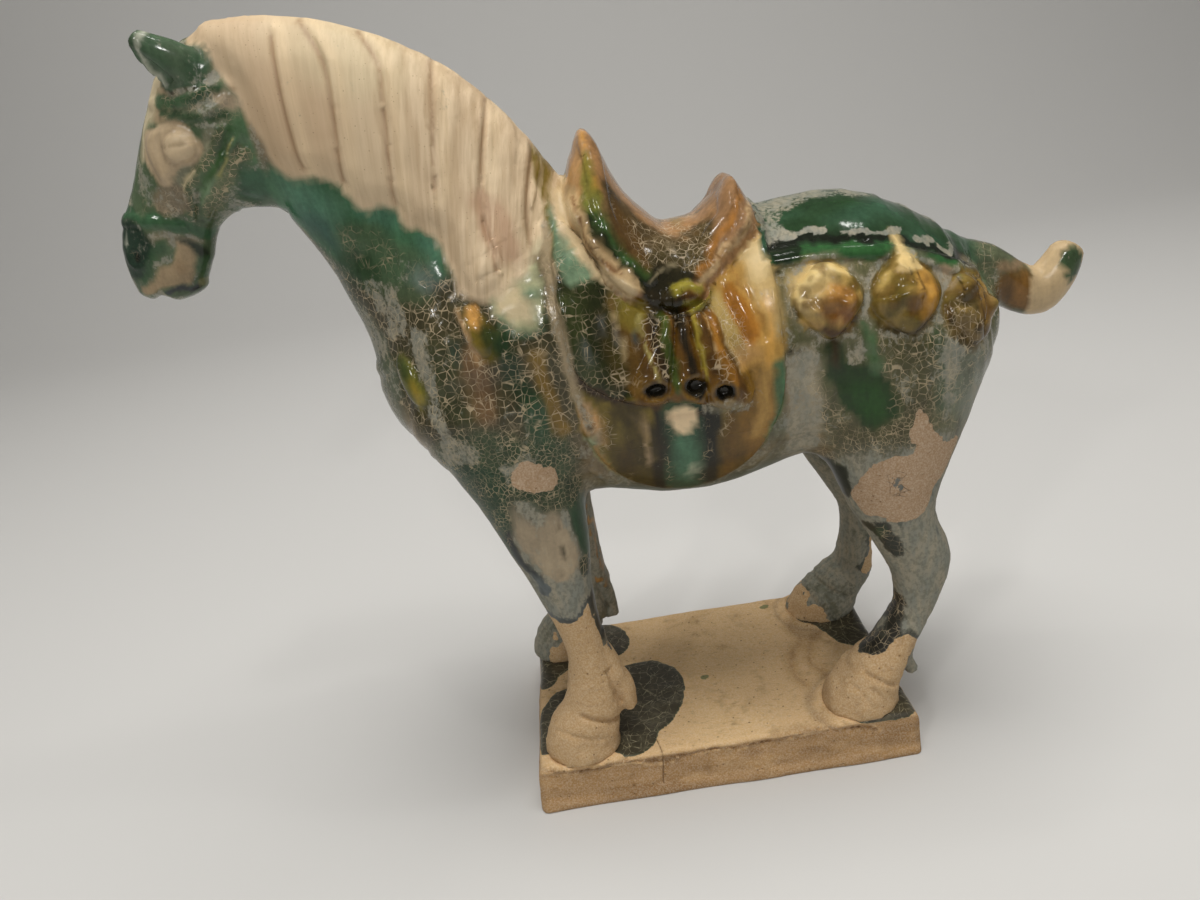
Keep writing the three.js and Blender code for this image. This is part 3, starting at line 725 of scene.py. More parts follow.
crupper_run = [(34, 214), (55, 213.8), (75, 211.5), (95, 204.5), (110, 197), (124, 188)]
crupper_width = 5
crupper_height = 1.8
crupper_run_out = 120
breast_run = [(-120, 189), (-104, 196), (-90, 204), (-75, 215), (-60, 222), (-40, 224)]
bosses = [(53.5, 199.5, 12, 6.5), (81, 196.5, 12.5, 6.5), (106, 187.5, 12, 5.5)]
# How far each boss is drawn out to a point below and above, as a share of it
boss_tips = [(0.16, 0.02), (0.06, 0.16), (0.1, 0.04)]
pendants = [(-70, 208, 4.5, 9.5, 0.35), (-97, 191, 4.2, 10, 0.25)]
pendant_height = 3


def skin_depth(x, z):
    """How far from the plane of symmetry the skin is, at a place in the side view"""
    near, far = 0, 60
    for _ in range(24):
        middle = (near + far) / 2
        if bare_animal(np.array([[x, -middle, z]], float))[0] < 0:
            near = middle
        else:
            far = middle
    return near


boss_depths = [skin_depth(x, z) for x, z, _, _ in bosses]


def strap_height(points):
    x, z = points[:, 0], points[:, 2]
    away, below = to_line(points, crupper_run)
    fade = np.clip((crupper_run_out - x) / 8, 0, 1)
    height = dome(2 * away / crupper_width, crupper_height * fade)
    above = np.where(below > 0, away, 9)
    height = height - 0.6 * fade * np.exp(-(((above - 3.6) / 1) ** 2)) * (x > 38)
    away, _ = to_line(points, breast_run)
    height = np.maximum(height, dome(away / 2, 0.5))
    for (x0, z0, radius, top), depth, tips in zip(bosses, boss_depths, boss_tips):
        from_centre = np.stack([x - x0, np.abs(points[:, 1]) - depth, z - z0])
        turn = np.arctan2(z - z0, x - x0)
        lobes = 1 + 0.045 * np.cos(4 * turn)
        for tip, sense in zip(tips, (-1, 1)):
            lobes = lobes + tip * np.exp(-(((turn - sense * math.pi / 2) / 0.4) ** 2))
        share = np.linalg.norm(from_centre, axis=0) / (radius * lobes)
        lumps = (1.7 * waver(points + 7, 6) + 0.7 * waver(points, 3)) * np.clip(1.8 - 1.8 * share, 0, 1)
        knobs = np.clip(np.cos(2.5 * turn + 0.8), 0, 1) * np.exp(-(((share - 0.62) / 0.2) ** 2))
        knobs = knobs + np.exp(-((share / 0.3) ** 2))
        height = np.maximum(height, dome(share, top - 0.8) + 1.6 * knobs + lumps)
    for x0, z0, half_x, half_z, lean in pendants:
        edge = to_spot(points, x0, z0, half_x, half_z, lean)
        share = np.clip(1 + edge / half_x, 0, 1)
        height = np.maximum(height, dome(share, pendant_height))
    return height


eye_patch = [
    (-172, 280.5),
    (-170.5, 285.5),
    (-167, 288),
    (-162, 289),
    (-157, 287.8),
    (-153, 285.4),
    (-150.5, 281.8),
    (-151.2, 277.8),
    (-155, 274.7),
    (-159.5, 273),
    (-163, 269.6),
    (-168, 268.4),
    (-170.5, 273.5),
]
halter_ridges = [
    ([(-143, 284), (-148.4, 277), (-153.5, 272.3), (-158.7, 267), (-163.5, 257.5)], 2, 1.1),
    ([(-155, 271.5), (-158, 269.3), (-161, 266.4), (-162.8, 262.5)], 1.1, 0.8),
    ([(-139.5, 279.5), (-144.5, 273.8), (-150.5, 268.2), (-157.5, 261)], 1.4, 1.1),
    ([(-137, 276), (-144.6, 270), (-151.7, 264), (-159, 256.5)], 1.6, 0.8),
    ([(-190, 259), (-180, 258.5), (-168, 254)], 2.4, 0.9),
    ([(-165, 295), (-152, 294.5), (-143, 297), (-136, 297)], 2.0, 0.8),
    ([(-162, 290.5), (-152, 289), (-144, 290), (-137, 294)], 1.5, 0.7),
]
cheek = (-146, 268, 14, 11)
nostril = (-187.5, 246)


def face_height(points):
    x, z = points[:, 0], points[:, 2]
    height = raised(to_spot(points, *cheek), 1.4, 8)
    patch = to_outline(points, eye_patch)
    height = np.maximum(height, raised(patch, 1.9, 4))
    eyeball = np.hypot((x + 157.6) / 5.6, (z - 280.2) / 5)
    height = height + dome(eyeball, 1.2)
    ring, _ = to_line(points, [(-159, 286), (-163.4, 284), (-164.8, 280), (-163.6, 276), (-160.5, 273.8)])
    height = height - 0.4 * np.exp(-((ring / 1.1) ** 2))
    lid, _ = to_line(points, [(-163, 280.4), (-158, 280.9), (-152.5, 281.8)])
    height = height - 0.35 * np.exp(-((lid / 0.8) ** 2))
    for places, width, rise in halter_ridges:
        away, _ = to_line(points, places)
        height = np.maximum(height, 0.55 * height + dome(away / width, rise))
    from_nostril = np.hypot(x - nostril[0], z - nostril[1])
    height = height + 0.5 * np.exp(-(((from_nostril - 3.4) / 1.4) ** 2))
    height = height - 0.9 * np.exp(-((from_nostril / 1.9) ** 2))
    lips, _ = to_line(points, [(-182, 231), (-176, 235.5), (-171, 236)])
    return height - 0.9 * np.exp(-((lips / 0.9) ** 2))


hoof_creases = [
    ([(-58, 42), (-49.6, 38.4), (-42, 33)], 1.1, 2.0),
    ([(-69, 35), (-59.5, 33.6), (-50, 30)], 0.8, 0.7),
    ([(-66, 29), (-58, 26.6), (-51, 26)], 0.8, 0.4),
    ([(-45, 67), (-44, 55), (-41.5, 42)], 1.1, 1.6),
    ([(50, 34), (54, 38.4), (60, 41.8)], 0.9, 1.0),
    ([(61, 39.6), (66.6, 36.6), (73, 32.8)], 1.2, 1.6),
    ([(55, 35), (59.5, 30), (62, 24)], 0.8, 0.7),
    ([(60, 37), (65, 31), (67, 25)], 0.8, 0.7),
    ([(65, 35), (69, 31), (71, 27)], 0.7, 0.5),
]
tuft_ridges = [([(-43.4, 84), (-42.6, 68), (-41, 56), (-39, 44), (-38, 38)], 2.2, 0.9)]
mane_front, mane_back, lowest_cloth, highest_hoof = -122, -32, 112, 60


def relief(points):
    """Height of all low relief over the plain skin"""
    x, z = points[:, 0], points[:, 2]
    height = np.zeros(len(points))
    face = (x < mane_front) & (z > 222)
    neck_side = (x < mane_back) & (z > 205)
    body = (x > -124) & (z > lowest_cloth)
    hooves = z < highest_hoof
    height[face] = face_height(points[face])
    height[neck_side] = np.maximum(height[neck_side], mane_height(points[neck_side]))
    height[body] = np.maximum(height[body], strap_height(points[body]))
    cloths = body & (x > -46) & (x < 41)
    height[cloths] = np.maximum(height[cloths], cloth_height(points[cloths]))
    for places, width, depth in hoof_creases:
        away, _ = to_line(points[hooves], places)
        height[hooves] -= depth * np.exp(-((away / width) ** 2))
    height[hooves] += 0.55 * waver(points[hooves], 6) + 0.35 * waver(points[hooves], 2.6)
    legs = z < 75
    for places, width, rise in tuft_ridges:
        away, _ = to_line(points[legs], places)
        height[legs] += dome(away / width, rise)
    return height + 0.22 * waver(points, 9) + 0.08 * waver(points, 3.2)


points, triangles = trace_surface(plain_horse, (-204, -58, 16), (172, 58, 324), 2.2)
points = settle(plain_horse, points, 2)
for least_change in (0.42, 0.68):
    heights = (relief(points) + saddle_height(points))[triangles]
    old_count = len(points)
    on_head = points[triangles][..., 0].max(1) < -138
    changes = (heights.max(1) - heights.min(1) > least_change) | on_head & (least_change < 0.5)
    points, triangles = split_where(points, triangles, changes)
    points[old_count:] = settle(plain_horse, points[old_count:], 1)

_, outward = slopes(plain_horse, points)
outward /= np.linalg.norm(outward, axis=1, keepdims=True)
skin = bare_animal(points)
saddle = np.minimum(tree_distance(points), pad_distance(points, skin))
ear_shape = np.minimum(ears[0](points), ears[1](points))
on_skin = np.clip(1 - (skin - saddle) / 1.5, 0, 1) * np.clip(1 + (ear_shape - skin) / 1.5, 0, 1)
on_skin[points[:, 2] < slab_top] = 0
on_saddle = np.clip((skin - saddle) / 0.8, 0, 1)
worked = relief(points) * on_skin + saddle_height(points) * on_saddle
placed = points + outward * worked[:, None]


def clay_piece(name, points, triangles):
    """A piece of clay from points in millimetres"""
    mesh = bpy.data.meshes.new(name)
    mesh.from_pydata(points * millimetre, [], triangles)
    mesh.shade_smooth()
    piece = bpy.data.objects.new(name, mesh)
    bpy.context.scene.collection.objects.link(piece)
    return piece


horse = clay_piece("glazed_horse", placed, triangles)
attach(horse, "root")
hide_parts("horse")

# Glaze of the horse
# Lead glazes in green, amber and cream were brushed on over a pale slip and
# ran together in the kiln. Age has crackled them, clouded them with a grey
# film and left some clay bare. The far side is painted alike, more loosely.

near_side = np.clip(0.5 - placed[:, 1] / 8, 0, 1)
looseness = (1 + 2.2 * (1 - near_side))[:, None]
drift = np.stack([waver(placed + 40 * k, (5, 5, 9)) for k in range(3)], 1)
flutter = np.stack([waver(placed + 70 * k, (2, 2, 3.4)) for k in range(3)], 1)
view = placed + looseness * (1.5 * drift + 0.7 * flutter)


def tone(red, green, blue):
    """The share of light sent back by a finish that looks like this in soft light"""
    levels = np.array([red, green, blue]) / 255
    return 1.5 * np.where(levels > 0.04, ((levels + 0.055) / 1.055) ** 2.4, levels / 12.92)


def covered(places, reach, distance):
    """Cover from 0 to 1 inside a shape, worked out only for the points near it"""
    low, high = np.min(places, 0) - reach, np.max(places, 0) + reach
    close = ((view[:, [0, 2]] > low) & (view[:, [0, 2]] < high)).all(1)
    cover = np.zeros(len(view))
    t = np.clip(0.5 - distance(view[close]) / reach, 0, 1)
    cover[close] = t * t * (3 - 2 * t)
    return cover


def patch(places, soft=3):
    return covered(places, soft, lambda points: to_outline(points, places))


def run(places, width, soft=2):
    return covered(places, soft + width, lambda p: (to_line(p, places)[0] - width / 2) * (1 + width / soft))


def spot(x, z, half_x, half_z, lean=0, soft=3):
    reach = max(half_x, half_z)
    box = [(x - reach, z - reach), (x + reach, z + reach)]
    return covered(box, soft, lambda points: to_spot(points, x, z, half_x, half_z, lean))


cream = tone(186, 164, 130)
pale_cream = tone(203, 184, 148)
straw = tone(190, 160, 104)
tan = tone(171, 146, 113)
amber = tone(142, 96, 26)
bright_amber = tone(172, 122, 48)
brown = tone(98, 62, 20)
treacle = tone(52, 30, 8)
olive = tone(92, 78, 26)
yellow_olive = tone(124, 104, 36)
green = tone(44, 72, 46)
deep_green = tone(26, 46, 24)
teal = tone(62, 96, 78)
dark_teal = tone(30, 52, 46)
celadon = tone(128, 140, 112)
black_glaze = tone(16, 16, 11)
grey_green = tone(74, 78, 62)
brown_grey = tone(96, 84, 62)
rust = tone(150, 104, 66)
blue_grey = tone(96, 102, 104)

x, y, z = placed.T
near, far = (y < 0).astype(float), (y > 0).astype(float)
hair = patch(mane_outline, 3.4) * on_skin * (x < mane_back) * (z > 205)

paint = np.tile(brown_grey, (len(placed), 1))
film = np.zeros(len(placed))
crackle = np.zeros(len(placed))
bare = np.zeros(len(placed))


def lay(glaze, cover, strength=1.0):
    paint[:] += (cover * strength)[:, None] * (glaze - paint)


def cloud(cover, strength=1.0):
    film[:] += cover * (strength - film)


def craze(cover, strength=1.0):
    crackle[:] += cover * (strength - crackle)


mottle = waver(placed, (9, 9, 14))
lay(grey_green, np.clip(0.5 + mottle, 0, 1), 0.8)
film[:] = 0.36 + 0.12 * mottle
crackle[:] = 0.2
fineness = np.zeros(len(placed))

# Chest and neck
chest = patch([(-128, 238), (-100, 236), (-78, 228), (-42, 222), (-42, 150), (-60, 146), (-90, 160), (-108, 190)], 8)
craze(chest, 0.9)
cloud(chest, 0.14)
lay(tone(46, 43, 26), chest, 0.92)
lay(tone(44, 52, 32), spot(-84, 190, 9, 16, 0.3, 9), 0.5)
lay(tone(104, 78, 54), patch([(-76, 200), (-71, 202), (-67, 190), (-68, 177), (-74, 176), (-77, 190)], 6), 0.6)
neck_green = patch([(-140, 262), (-126, 271), (-110, 266), (-98, 258), (-84, 250), (-73, 242), (-73, 229), (-84, 224), (-96, 226), (-108, 226), (-118, 232), (-128, 246)], 5)
lay(tone(48, 78, 54), neck_green)
cloud(neck_green, 0.14)
craze(neck_green, 0.12)
lay(teal, spot(-120, 255, 12, 6, -0.8, 9), 0.75)
lay(tone(36, 62, 56), spot(-119, 246, 10, 4.5, -0.85, 6), 0.7)
lay(teal, spot(-97, 249, 9, 4, -0.5, 5), 0.55)
lay(tone(42, 68, 46), spot(-104, 243, 10, 5, -0.7, 6), 0.7)
lay(teal, spot(-80, 236, 5, 5, 0, 5), 0.6)
lower_neck = patch([(-114, 244), (-101, 247), (-92, 239), (-82, 231), (-84, 219), (-106, 222)], 6)
craze(lower_neck, 0.45)
lay(tone(58, 72, 50), lower_neck, 0.75)
lay(deep_green, patch([(-121, 233), (-108, 238), (-100, 232), (-104, 224), (-113, 224)], 4), 0.7)
lay(blue_grey, spot(-84, 226, 6, 4, -0.4, 5), 0.4)
front = patch([(-124, 236), (-118, 232), (-111, 216), (-103, 200), (-103, 184), (-112, 182), (-124, 200)], 5)
cloud(front, 0.44)
lay(tone(66, 74, 58), front, 0.8)
craze(front, 0.5)
cloud(patch([(-107, 226), (-98, 226), (-94, 214), (-101, 206), (-106, 212)], 4), 0.66)
cloud(patch([(-94, 208), (-89, 208), (-87, 182), (-82, 164), (-90, 162), (-93, 184)], 4), 0.7)
cloud(spot(-82, 214, 3, 6, 0.2, 4), 0.45)
lay(dark_teal, spot(-78, 200, 2.5, 5, 0.2, 3), 0.5)
low_chest = patch([(-92, 168), (-70, 172), (-58, 166), (-45, 166), (-46, 144), (-64, 142), (-80, 146), (-94, 156)], 6)
lay(tone(40, 54, 34), low_chest, 0.85)
craze(low_chest, 0.95)
fineness = np.maximum(fineness, low_chest)
cloud(spot(-84, 163, 7, 6, 0.3, 4), 0.72)
cloud(spot(-64, 156, 8, 4, 0.1, 4), 0.6)

# Pendants, celadon run and dark streaks behind the chest
lay(tone(84, 82, 30), spot(-97, 190, 3.6, 9, 0.25, 3))
lay(yellow_olive, spot(-96, 187, 1.4, 4, 0.25, 3), 0.7)
lay(deep_green, spot(-99, 195, 2, 4, 0.25, 2), 0.7)
lay(olive, spot(-68, 206, 4.5, 9, 0.3, 3))
lay(tone(150, 120, 84), run([(-75, 215), (-73.4, 206), (-70, 197)], 2, 2), 0.75)
lay(tone(158, 116, 60), spot(-69.6, 212.6, 2.6, 3.4, 0.3, 2.5), 0.9)
lay(tone(40, 46, 16), spot(-66.2, 204.4, 2.6, 6.6, 0.2, 2.5), 0.9)
for pendant in (spot(-97, 190, 4, 9.5, 0.25, 3), spot(-68, 206, 5, 10, 0.3, 3)):
    craze(pendant, 0.15)
    cloud(pendant, 0.04)
lay(tone(22, 38, 20), run([(-62, 203), (-59, 190), (-55, 176), (-52, 166)], 6, 3), 0.95)
lay(tone(36, 60, 38), spot(-54, 172, 4.5, 10, 0.1, 5), 0.9)
lay(deep_green, spot(-55, 208, 11, 4, 0.2, 4), 0.85)
lay(tone(98, 76, 28), run([(-51, 196), (-49, 184), (-46, 168)], 6, 3), 0.8)
celadon_run = patch([(-63, 218), (-58, 222), (-48, 226), (-45, 222), (-46, 211), (-52, 206), (-60, 208)], 4)
lay(tone(132, 132, 102), celadon_run, 0.95)
lay(tone(158, 142, 112), patch([(-62, 219), (-56, 221), (-50, 216), (-51, 210), (-58, 209), (-62, 213)], 4), 0.85)
lay(tone(92, 112, 88), run([(-61.6, 221), (-61.4, 214), (-60, 209)], 1, 1.6), 0.7)
lay(tone(74, 96, 76), spot(-49.4, 217, 3, 1.8, 0.2, 3), 0.85)
lay(tone(66, 84, 66), run([(-60, 207.6), (-54, 205), (-47.4, 206)], 2.4, 3), 0.7)
craze(celadon_run, 0.05)
cloud(celadon_run, 0)

# Mane
hair_tone = tone(166, 147, 120)
lay(hair_tone, hair)
craze(hair, 0)
cloud(hair, 0)
lock_tint = waver(np.stack([strand_place(placed), y * 0.2, z * 0.04], 1), 7)
lay(tone(178, 160, 132), hair * np.clip(0.2 + lock_tint, 0, 1), 0.5)
lay(tone(150, 128, 100), hair * np.clip(0.1 - lock_tint, 0, 1), 0.5)
lay(tone(158, 134, 106), hair * spot(-116, 286, 16, 20, 0, 16), 0.6)
lay(tone(170, 158, 128), hair * spot(-96, 300, 22, 12, -0.4, 12), 0.5)
# Along each groove a darker line is painted shade in the groove, and a paler band just behind it is a painted
# highlight on the raised edge of the next lock
for places in mane_grooves:
    away, behind = to_line(placed, places)
    lay(tone(118, 92, 66), hair * np.exp(-((away / 0.9) ** 2)), 0.7)
    lay(tone(186, 166, 134), hair * np.exp(-(((away - 3.6) / 2.2) ** 2)) * (behind > 0), 0.5)
lay(tone(146, 116, 92), hair * patch([(-64, 250), (-56, 249), (-51, 238), (-52, 228), (-60, 231)], 4), 0.75)
lay(celadon, hair * patch([(-48, 226), (-44, 234), (-42, 226), (-50, 218)], 4), 0.5)

# Head
head_side = (x < -134).astype(float) * (z > 222) * (1 - hair)
fineness = np.maximum(fineness, head_side)
lay(tone(58, 74, 52), head_side, 0.92)
head_film = head_side * (0.42 + 0.3 * waver(placed, 4))
film[:] = np.where(head_side > 0, head_film, film)
crackle[:] = np.where(head_side > 0, 0.22, crackle)


def face(glaze, cover, strength=1.0, haze=None, crack=None):
    """Glazes part of the face and clouds or crackles it"""
    lay(glaze, head_side * cover, strength)
    if haze is not None:
        cloud(head_side * cover, haze)
    if crack is not None:
        craze(head_side * cover, crack)


between_bands = patch([(-162, 302), (-150, 302), (-137, 301), (-134, 290), (-140, 285), (-150, 288), (-163, 290)], 3)
face(tone(96, 98, 78), between_bands, 0.8, 0.34, 0.5)
face(tone(138, 120, 94), patch([(-165, 303), (-159, 301), (-157, 294), (-161, 289), (-167, 291)], 2.6), 0.85, 0.1)
brow = patch([(-174.5, 278), (-172, 288), (-166, 300), (-160, 305), (-160, 300), (-165, 293), (-170, 286), (-172, 279)], 2.4)
face(tone(166, 154, 126), brow, 0.85, 0.04, 0.05)
face(tone(56, 80, 54), run([(-162, 295.2), (-154.7, 294.4), (-145.7, 296), (-138, 298)], 4.4, 1.6), 0.95, 0.1, 0.5)
face(tone(38, 58, 38), run([(-150, 294), (-144, 295.6), (-139, 297)], 3, 2), 0.8)
face(tone(46, 64, 42), run([(-162, 292), (-154.5, 289.6), (-147, 288.2), (-140, 289)], 2.6, 1.6), 0.95, 0.08)
face(tone(132, 118, 98), patch([(-142, 294), (-136.5, 296), (-133.4, 291), (-138, 289.5)], 2), 0.9, 0.2)
haze_band = patch([(-157, 300), (-150, 303), (-140, 302), (-137.6, 299), (-146, 298), (-156, 297)], 2.4)
face(tone(116, 108, 92), haze_band, 0.7, 0.72)
for px, pz in ((-155, 298.5), (-150.5, 299), (-147.5, 298), (-143, 300)):
    face(black_glaze, spot(px, pz, 1, 0.9, 0, 0.9), 0.8, 0)
face(tone(60, 86, 58), patch([(-139, 288), (-133, 284), (-131, 270), (-136, 272), (-141, 280)], 4), 0.9, 0.12)
face(tone(68, 90, 64), spot(-136, 279, 4, 7, -0.3, 5), 0.6)
face(tone(40, 70, 50), patch([(-141, 268), (-134, 270), (-131, 264), (-135, 258.5), (-143, 260)], 4), 0.9, 0.06, 0.1)
valley = run([(-147, 283), (-153, 276.5), (-158.5, 272), (-162.5, 266)], 4.4, 2)
face(tone(98, 96, 78), valley, 0.85, 0.24)
beads = run([(-143.2, 283), (-148.4, 277), (-153.5, 272.3), (-158.7, 267), (-163, 258)], 3, 1.2)
face(tone(64, 72, 50), beads, 0.9, 0.1, 0.9)
face(tone(42, 66, 34), run([(-140.5, 283), (-145, 276.6), (-150.2, 271.6), (-155, 266)], 2.2, 1.4), 0.9, 0, 0.1)
face(tone(122, 118, 72), run([(-139.5, 279.5), (-144.5, 273.8), (-149.5, 269)], 0.7, 1), 0.9, 0, 0)
face(tone(92, 112, 84), spot(-154, 263.4, 2.2, 5, -0.7, 2.6), 0.85, 0.05, 0.1)
wide_beads = run([(-137.5, 275), (-144.6, 269.4), (-151, 263.4), (-157, 258)], 4.6, 1.6)
face(tone(76, 82, 58), wide_beads, 0.85, 0.16, 0.85)
face(tone(160, 148, 118), run([(-155, 271.5), (-158, 269.3), (-161, 266.4), (-162.8, 262.5)], 1.3, 1), 0.95, 0, 0)
below_eye = patch([(-171, 268), (-165, 269.5), (-161, 266), (-163, 259), (-172, 258.5), (-175, 262)], 2.6)
face(tone(104, 92, 74), below_eye, 0.85, 0.3, 0.6)
eye = patch(eye_patch, 1.6)
face(tone(150, 132, 106), eye, 0.98, -0.1, -0.2)
face(tone(166, 148, 120), spot(-157.6, 280.2, 5, 4.4, 0, 2.4), 0.8)
face(tone(116, 100, 78), run([(-159, 286), (-163.4, 284), (-164.8, 280), (-163.6, 276), (-160.5, 273.8)], 0.8, 1.6), 0.7)
face(tone(120, 104, 82), run([(-163, 280.4), (-158, 280.9), (-152.5, 281.8)], 0.5, 1.3), 0.7)
face(tone(110, 96, 74), run([(-155, 274.9), (-151.4, 278), (-151, 281.8)], 0.6, 1.6), 0.6)
noseband = run([(-189, 261.5), (-178.2, 258.4), (-168, 254.5), (-160, 250)], 4.2, 1.8)
face(tone(44, 72, 48), noseband, 0.92, 0.05, 0.15)
face(tone(44, 68, 44), spot(-173, 256.8, 4, 1.8, 0.3, 2), 0.7)
face(tone(118, 106, 86), patch([(-180, 254.5), (-166, 250.5), (-163, 248), (-170, 248), (-180, 251)], 2), 0.7, 0.5)
dark_nose = patch([(-194, 259), (-183, 257), (-178, 252), (-179, 247), (-185, 240), (-194, 238)], 3)
face(tone(26, 42, 32), dark_nose, 0.95, 0.16)
face(tone(42, 64, 42), run([(-176.5, 250), (-181, 243.5), (-187.5, 237.5)], 3, 2), 0.9, 0.1, 0.2)
face(tone(22, 30, 20), patch([(-171, 250.5), (-166, 249.5), (-164, 244), (-167, 240), (-168, 246)], 2), 0.9, 0.05)
face(tone(44, 66, 42), run([(-166, 241), (-168, 236), (-168, 232)], 3, 2), 0.8, 0.15)
muzzle = patch([(-171, 249.8), (-167.7, 245.7), (-170, 237.3), (-173, 233.6), (-179, 235), (-189, 231), (-189, 233.6), (-179.8, 239.8), (-174, 246)], 1.8)
face(tone(128, 110, 84), muzzle, 0.95, 0.04, 0.05)
face(tone(112, 92, 66), spot(-173.5, 241, 2.6, 3.4, 0.3, 3), 0.6)
face(tone(40, 42, 46), run([(-180.5, 232), (-177, 233.6), (-173.5, 231.6), (-170.5, 231)], 2, 1.2), 0.92, 0, 0)
face(tone(112, 110, 80), spot(-169, 232, 1.6, 1.6, 0, 1.4), 0.7)
lay(black_glaze, spot(-187.5, 246, 1.4, 1.4, 0, 1.4) * (x < -180), 0.8)
# A pale line down the ridge of the face, from forehead to nose, is a painted highlight
lay(tone(150, 150, 136), head_side * run([(-176, 272), (-184, 262), (-190, 252)], 1.2, 1.6) * (np.abs(y) < 6), 0.6)
cloud(head_side * run([(-158, 252), (-160, 244), (-163, 234)], 3, 2), 0.5)
on_ear = np.clip(1 - (ear_shape - skin) / 1.5, 0, 1) * (z > 298)
lay(tone(60, 74, 56), on_ear, 0.95)
lay(tone(42, 66, 46), on_ear * np.clip(0.4 + waver(placed, 5), 0, 1), 0.6)
cloud(on_ear, 0.16)
craze(on_ear, 0.05)
# The pale grey band along the front rim of the ear is a painted highlight
ear_rim_highlight = on_ear * run([(-158.6, 316.4), (-160.4, 312), (-160.2, 309), (-159.6, 306), (-158.4, 303), (-157, 300)], 1.8, 1.4)
lay(tone(136, 138, 124), ear_rim_highlight, 0.9)

# Blanket and the cover over it
blanket = np.clip(0.5 - blanket_edge(view) / 1.5, 0, 1) * (z > 112)
lay(olive, blanket)
cloud(blanket, 0.05)
craze(blanket, 0.2)


def on_blanket(glaze, cover, strength=1.0):
    lay(glaze, cover * blanket, strength)


on_blanket(tone(160, 122, 80), patch([(-40, 178), (-35, 176), (-31, 166), (-31.4, 158), (-36, 161), (-39, 169)], 3), 0.9)
craze(patch([(-40, 174), (-30, 172), (-26, 160), (-34, 156)], 3) * blanket, 0.6)
on_blanket(celadon, patch([(-42, 160), (-37, 162), (-31, 148), (-24, 138), (-29, 134), (-37, 146)], 3), 0.85)
on_blanket(amber, run([(-36, 158), (-31, 147), (-24, 138)], 1.6, 1.6), 0.7)
on_blanket(tone(56, 46, 15), patch([(-29, 172), (-17, 172), (-14, 134), (-22, 132), (-29, 146)], 4), 0.95)
on_blanket(tone(96, 84, 36), spot(-25, 162, 3, 6, 0, 4), 0.5)
on_blanket(tone(36, 30, 16), run([(-21, 168), (-21.6, 158), (-21, 148)], 1.6, 2), 0.7)
on_blanket(tone(150, 128, 100), run([(-18.4, 168), (-15.6, 164), (-16.6, 157), (-15.4, 148)], 1.6, 1.4), 0.6)
on_blanket(tone(50, 36, 10), spot(-24, 152, 3, 10, 0, 4), 0.6)
on_blanket(tone(132, 110, 74), run([(-17, 168), (-15, 158)], 2, 2), 0.5)
on_blanket(tone(20, 16, 9), run([(-10.8, 170), (-11.6, 152), (-12.4, 132)], 5.4, 3), 0.95)
on_blanket(tone(32, 54, 38), patch([(-8.6, 172), (4.6, 172), (4, 126), (-9, 126)], 3), 0.95)
on_blanket(tone(58, 90, 68), spot(-2.4, 148, 4.4, 13, 0, 4), 0.85)
on_blanket(tone(120, 124, 104), spot(0, 140, 3, 3.6, 0, 3) * np.clip(0.5 + 2.5 * waver(placed, 1.6), 0, 1), 0.8)
on_blanket(tone(12, 15, 10), run([(7.4, 168), (8, 150), (6.6, 128)], 8, 3), 0.96)
on_blanket(tone(74, 55, 18), patch([(13, 164), (26, 160), (24, 132), (12, 128)], 4), 0.95)
on_blanket(tone(76, 52, 14), run([(14, 164), (15, 148), (12, 132)], 3, 3), 0.6)
on_blanket(tone(100, 72, 25), patch([(20, 186), (33, 186), (33, 156), (27, 142), (20, 146)], 4), 0.9)
on_blanket(tone(150, 118, 62), run([(28.6, 184), (28.4, 168), (25.6, 154)], 4, 4), 0.7)
on_blanket(tone(86, 62, 22), run([(16, 160), (16.4, 146), (14, 132)], 3, 3), 0.6)
on_blanket(tone(96, 70, 22), run([(22, 178), (21.5, 160)], 2.4, 3), 0.5)
on_blanket(tone(52, 60, 26), run([(35.6, 206), (35.4, 190), (34.6, 178)], 2, 2), 0.8)
craze(run([(-8, 166), (-9, 150), (-8, 136)], 2.4, 2) * blanket, 0.8)
craze(run([(4, 168), (5, 150), (3, 134)], 2.4, 2) * blanket, 0.8)
craze(run([(14, 166), (13, 156)], 3, 3) * blanket, 0.7)
on_blanket(tone(54, 86, 58), run([(35.4, 182), (34.6, 164), (30.6, 148), (21, 133)], 5, 2.4), 0.95)

rear_flap = patch([(17, 214), (30, 225), (38, 222), (38.5, 186), (30, 182), (20, 182), (15, 200)], 3)
lay(tone(150, 116, 58), rear_flap)
cloud(rear_flap, 0.03)
craze(rear_flap, 0.06)
lay(tone(158, 134, 88), patch([(24, 223), (36, 224), (38.5, 212), (37.5, 195), (33, 188), (28.6, 204)], 4), 0.9)
lay(tone(176, 156, 114), spot(32, 215, 5, 6, 0.1, 4), 0.7)
lay(tone(138, 118, 70), patch([(11.5, 204), (17, 206), (22.5, 197), (25, 188), (19, 185), (14, 194)], 3), 0.9)
lay(tone(124, 80, 26), patch([(18, 207), (22.4, 209.5), (26.6, 200), (28.4, 192), (25.2, 188.6), (20.6, 195)], 2.6), 0.92)
lay(tone(126, 78, 22), spot(23.4, 197, 2, 6, 0.3, 3), 0.6)
lay(tone(128, 92, 46), run([(19, 212.4), (23.3, 211.8), (26.8, 204.6), (29.6, 194)], 1, 1.4), 0.75)
lay(tone(172, 128, 60), run([(31.6, 202), (32.4, 192), (30, 182)], 3, 3), 0.6)
lay(tone(138, 106, 70), spot(23, 186, 5, 4, 0, 4), 0.6)
craze(patch([(11.5, 203), (17, 206), (24, 196), (25, 186), (18, 184)], 3), 0.9)
fineness = np.maximum(fineness, spot(19, 192, 6, 11, 0.4, 3))

